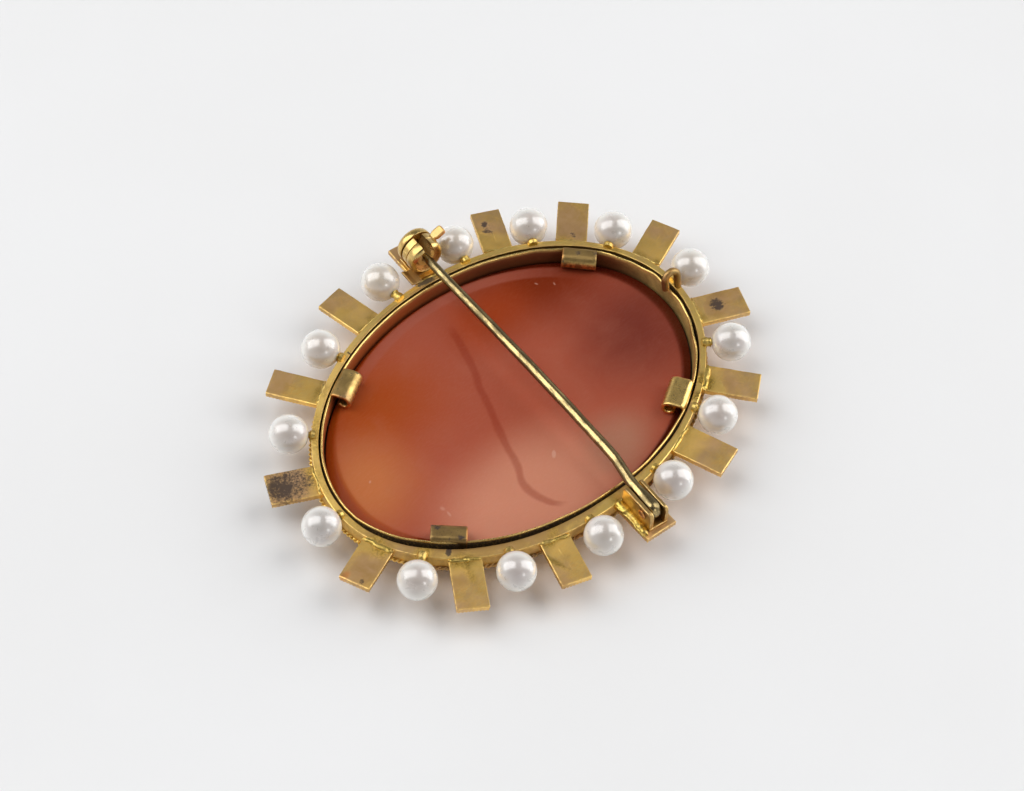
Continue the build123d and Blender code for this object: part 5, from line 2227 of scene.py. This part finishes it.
@dataclass(frozen=True)
class Stage:
    """Camera, table, soft lights and the pale surroundings."""

    aim: tuple[float, float, float] = (-0.0946, -0.1567, 3.20)
    distance: float = 287.63
    elevation: float = 52.994
    azimuth: float = -140.04
    roll: float = 4.453
    lens: float = 120.79
    camera_way: tuple[float, float, float] = (-0.461, -0.387, 0.799)
    mirror_way: tuple[float, float, float] = (0.461, 0.387, 0.799)
    table_half: float = 1.6
    softboxes: tuple[Softbox, ...] = (
        Softbox("left_softbox", (-0.400, 0.540, 0.740), 0.62, 0.48, 0.86, 3.15),
        Softbox("right_softbox", (0.723, -0.421, 0.548), 0.62, 0.48, 0.86, 3.15),
        Softbox("near_fill", (-0.069, -0.910, 0.433), 0.70, 0.10, 0.16, 0.22),
    )

    def camera(self) -> None:
        """Stand the camera at the photograph's place: out along azimuth and elevation, then rolled."""
        rise, round_ = math.radians(self.elevation), math.radians(self.azimuth)
        back = Vector((math.cos(rise) * math.cos(round_), math.cos(rise) * math.sin(round_), math.sin(rise)))
        right = (-back).cross(Vector((0, 0, 1))).normalized()
        up = right.cross(-back)
        tip = math.radians(self.roll)
        right, up = math.cos(tip) * right + math.sin(tip) * up, -math.sin(tip) * right + math.cos(tip) * up
        data = bpy.data.cameras.new("camera")
        data.lens, data.sensor_width, data.clip_start = self.lens, 36.0, 0.01
        camera = bpy.data.objects.new("camera", data)
        turn = Matrix((right, up, back)).transposed()
        spot = (Vector(self.aim) + back * self.distance) * MM
        camera.matrix_world = Matrix.Translation(spot) @ turn.to_4x4()
        bpy.context.scene.collection.objects.link(camera)
        bpy.context.scene.camera = camera

    def surroundings(self) -> None:
        """Pale world, bright low down and dim overhead, darkest toward the camera and opposite it."""
        world = bpy.data.worlds.new("studio")
        bpy.context.scene.world = world
        world.use_nodes = True
        tree = world.node_tree
        tree.nodes.clear()
        bench = Bench(tree)
        way = bench.put("ShaderNodeTexCoord").outputs["Generated"]
        parts = bench.put("ShaderNodeSeparateXYZ", {0: way})
        sky = bench.blend(bench.step(parts.outputs["Z"], 0.10, 0.75), (1.0, 1.0, 1.0), (0.30, 0.305, 0.32))
        for toward, tight, shade in ((self.camera_way, 0.84, (0.05, 0.05, 0.055)),
                                     (self.mirror_way, 0.90, (0.24, 0.24, 0.25))):
            near = bench.put("ShaderNodeVectorMath", {0: way, 1: toward}, operation="DOT_PRODUCT")
            sky = bench.blend(bench.step(near.outputs["Value"], tight, 0.985, 0.0, 0.85), sky, shade)
        light = bench.put("ShaderNodeBackground", {"Color": sky, "Strength": 0.665})
        out = tree.nodes.new("ShaderNodeOutputWorld")
        tree.links.new(light.outputs[0], out.inputs[0])

    def table(self, palette: Palette) -> None:
        """Lay the table top: a wide level sheet at Z = 0, a grid over two parameters."""
        ends = np.linspace(-self.table_half, self.table_half, 9)
        x, y = np.meshgrid(ends, ends, indexing="ij")
        sheet = lattice(np.stack([x, y, np.zeros_like(x)], axis=-1), wrap_columns=False)
        mesh = bpy.data.meshes.new("table")
        mesh.from_pydata(sheet.points.tolist(), [], sheet.faces[0].tolist())
        mesh.materials.append(palette.table)
        table = bpy.data.objects.new("table", mesh)
        bpy.context.scene.collection.objects.link(table)

    def build(self, palette: Palette) -> None:
        """Set up the whole stage.

        Args:
            palette: the finishes.
        """
        self.camera()
        self.surroundings()
        self.table(palette)
        for softbox in self.softboxes:
            softbox.hang()
        view = bpy.context.scene.view_settings
        view.view_transform, view.look = "Standard", "None"


def main() -> None:
    """Build every sub-assembly in order and report each piece."""
    logging.basicConfig(level=logging.INFO, format="%(message)s")
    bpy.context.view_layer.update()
    palette = Palette()
    Stage().build(palette)
    RimBand().build(palette)
    BorderWire().build(palette)
    RayBars().build(palette)
    SolderFlow().build(palette)
    PearlPegs().build(palette)
    Pearls().build(palette)
    Collet().build(palette)
    CameoStone().build(palette)
    hinge = HingeBracket()
    hinge.build(palette)
    hinge.ridge(palette)
    HingeRivet().build(palette)
    PinStem().build(palette)
    CatchHousing().build(palette)
    CatchRotor().build(palette)
    ChainLoop().build(palette)


if __name__ == "__main__":
    main()
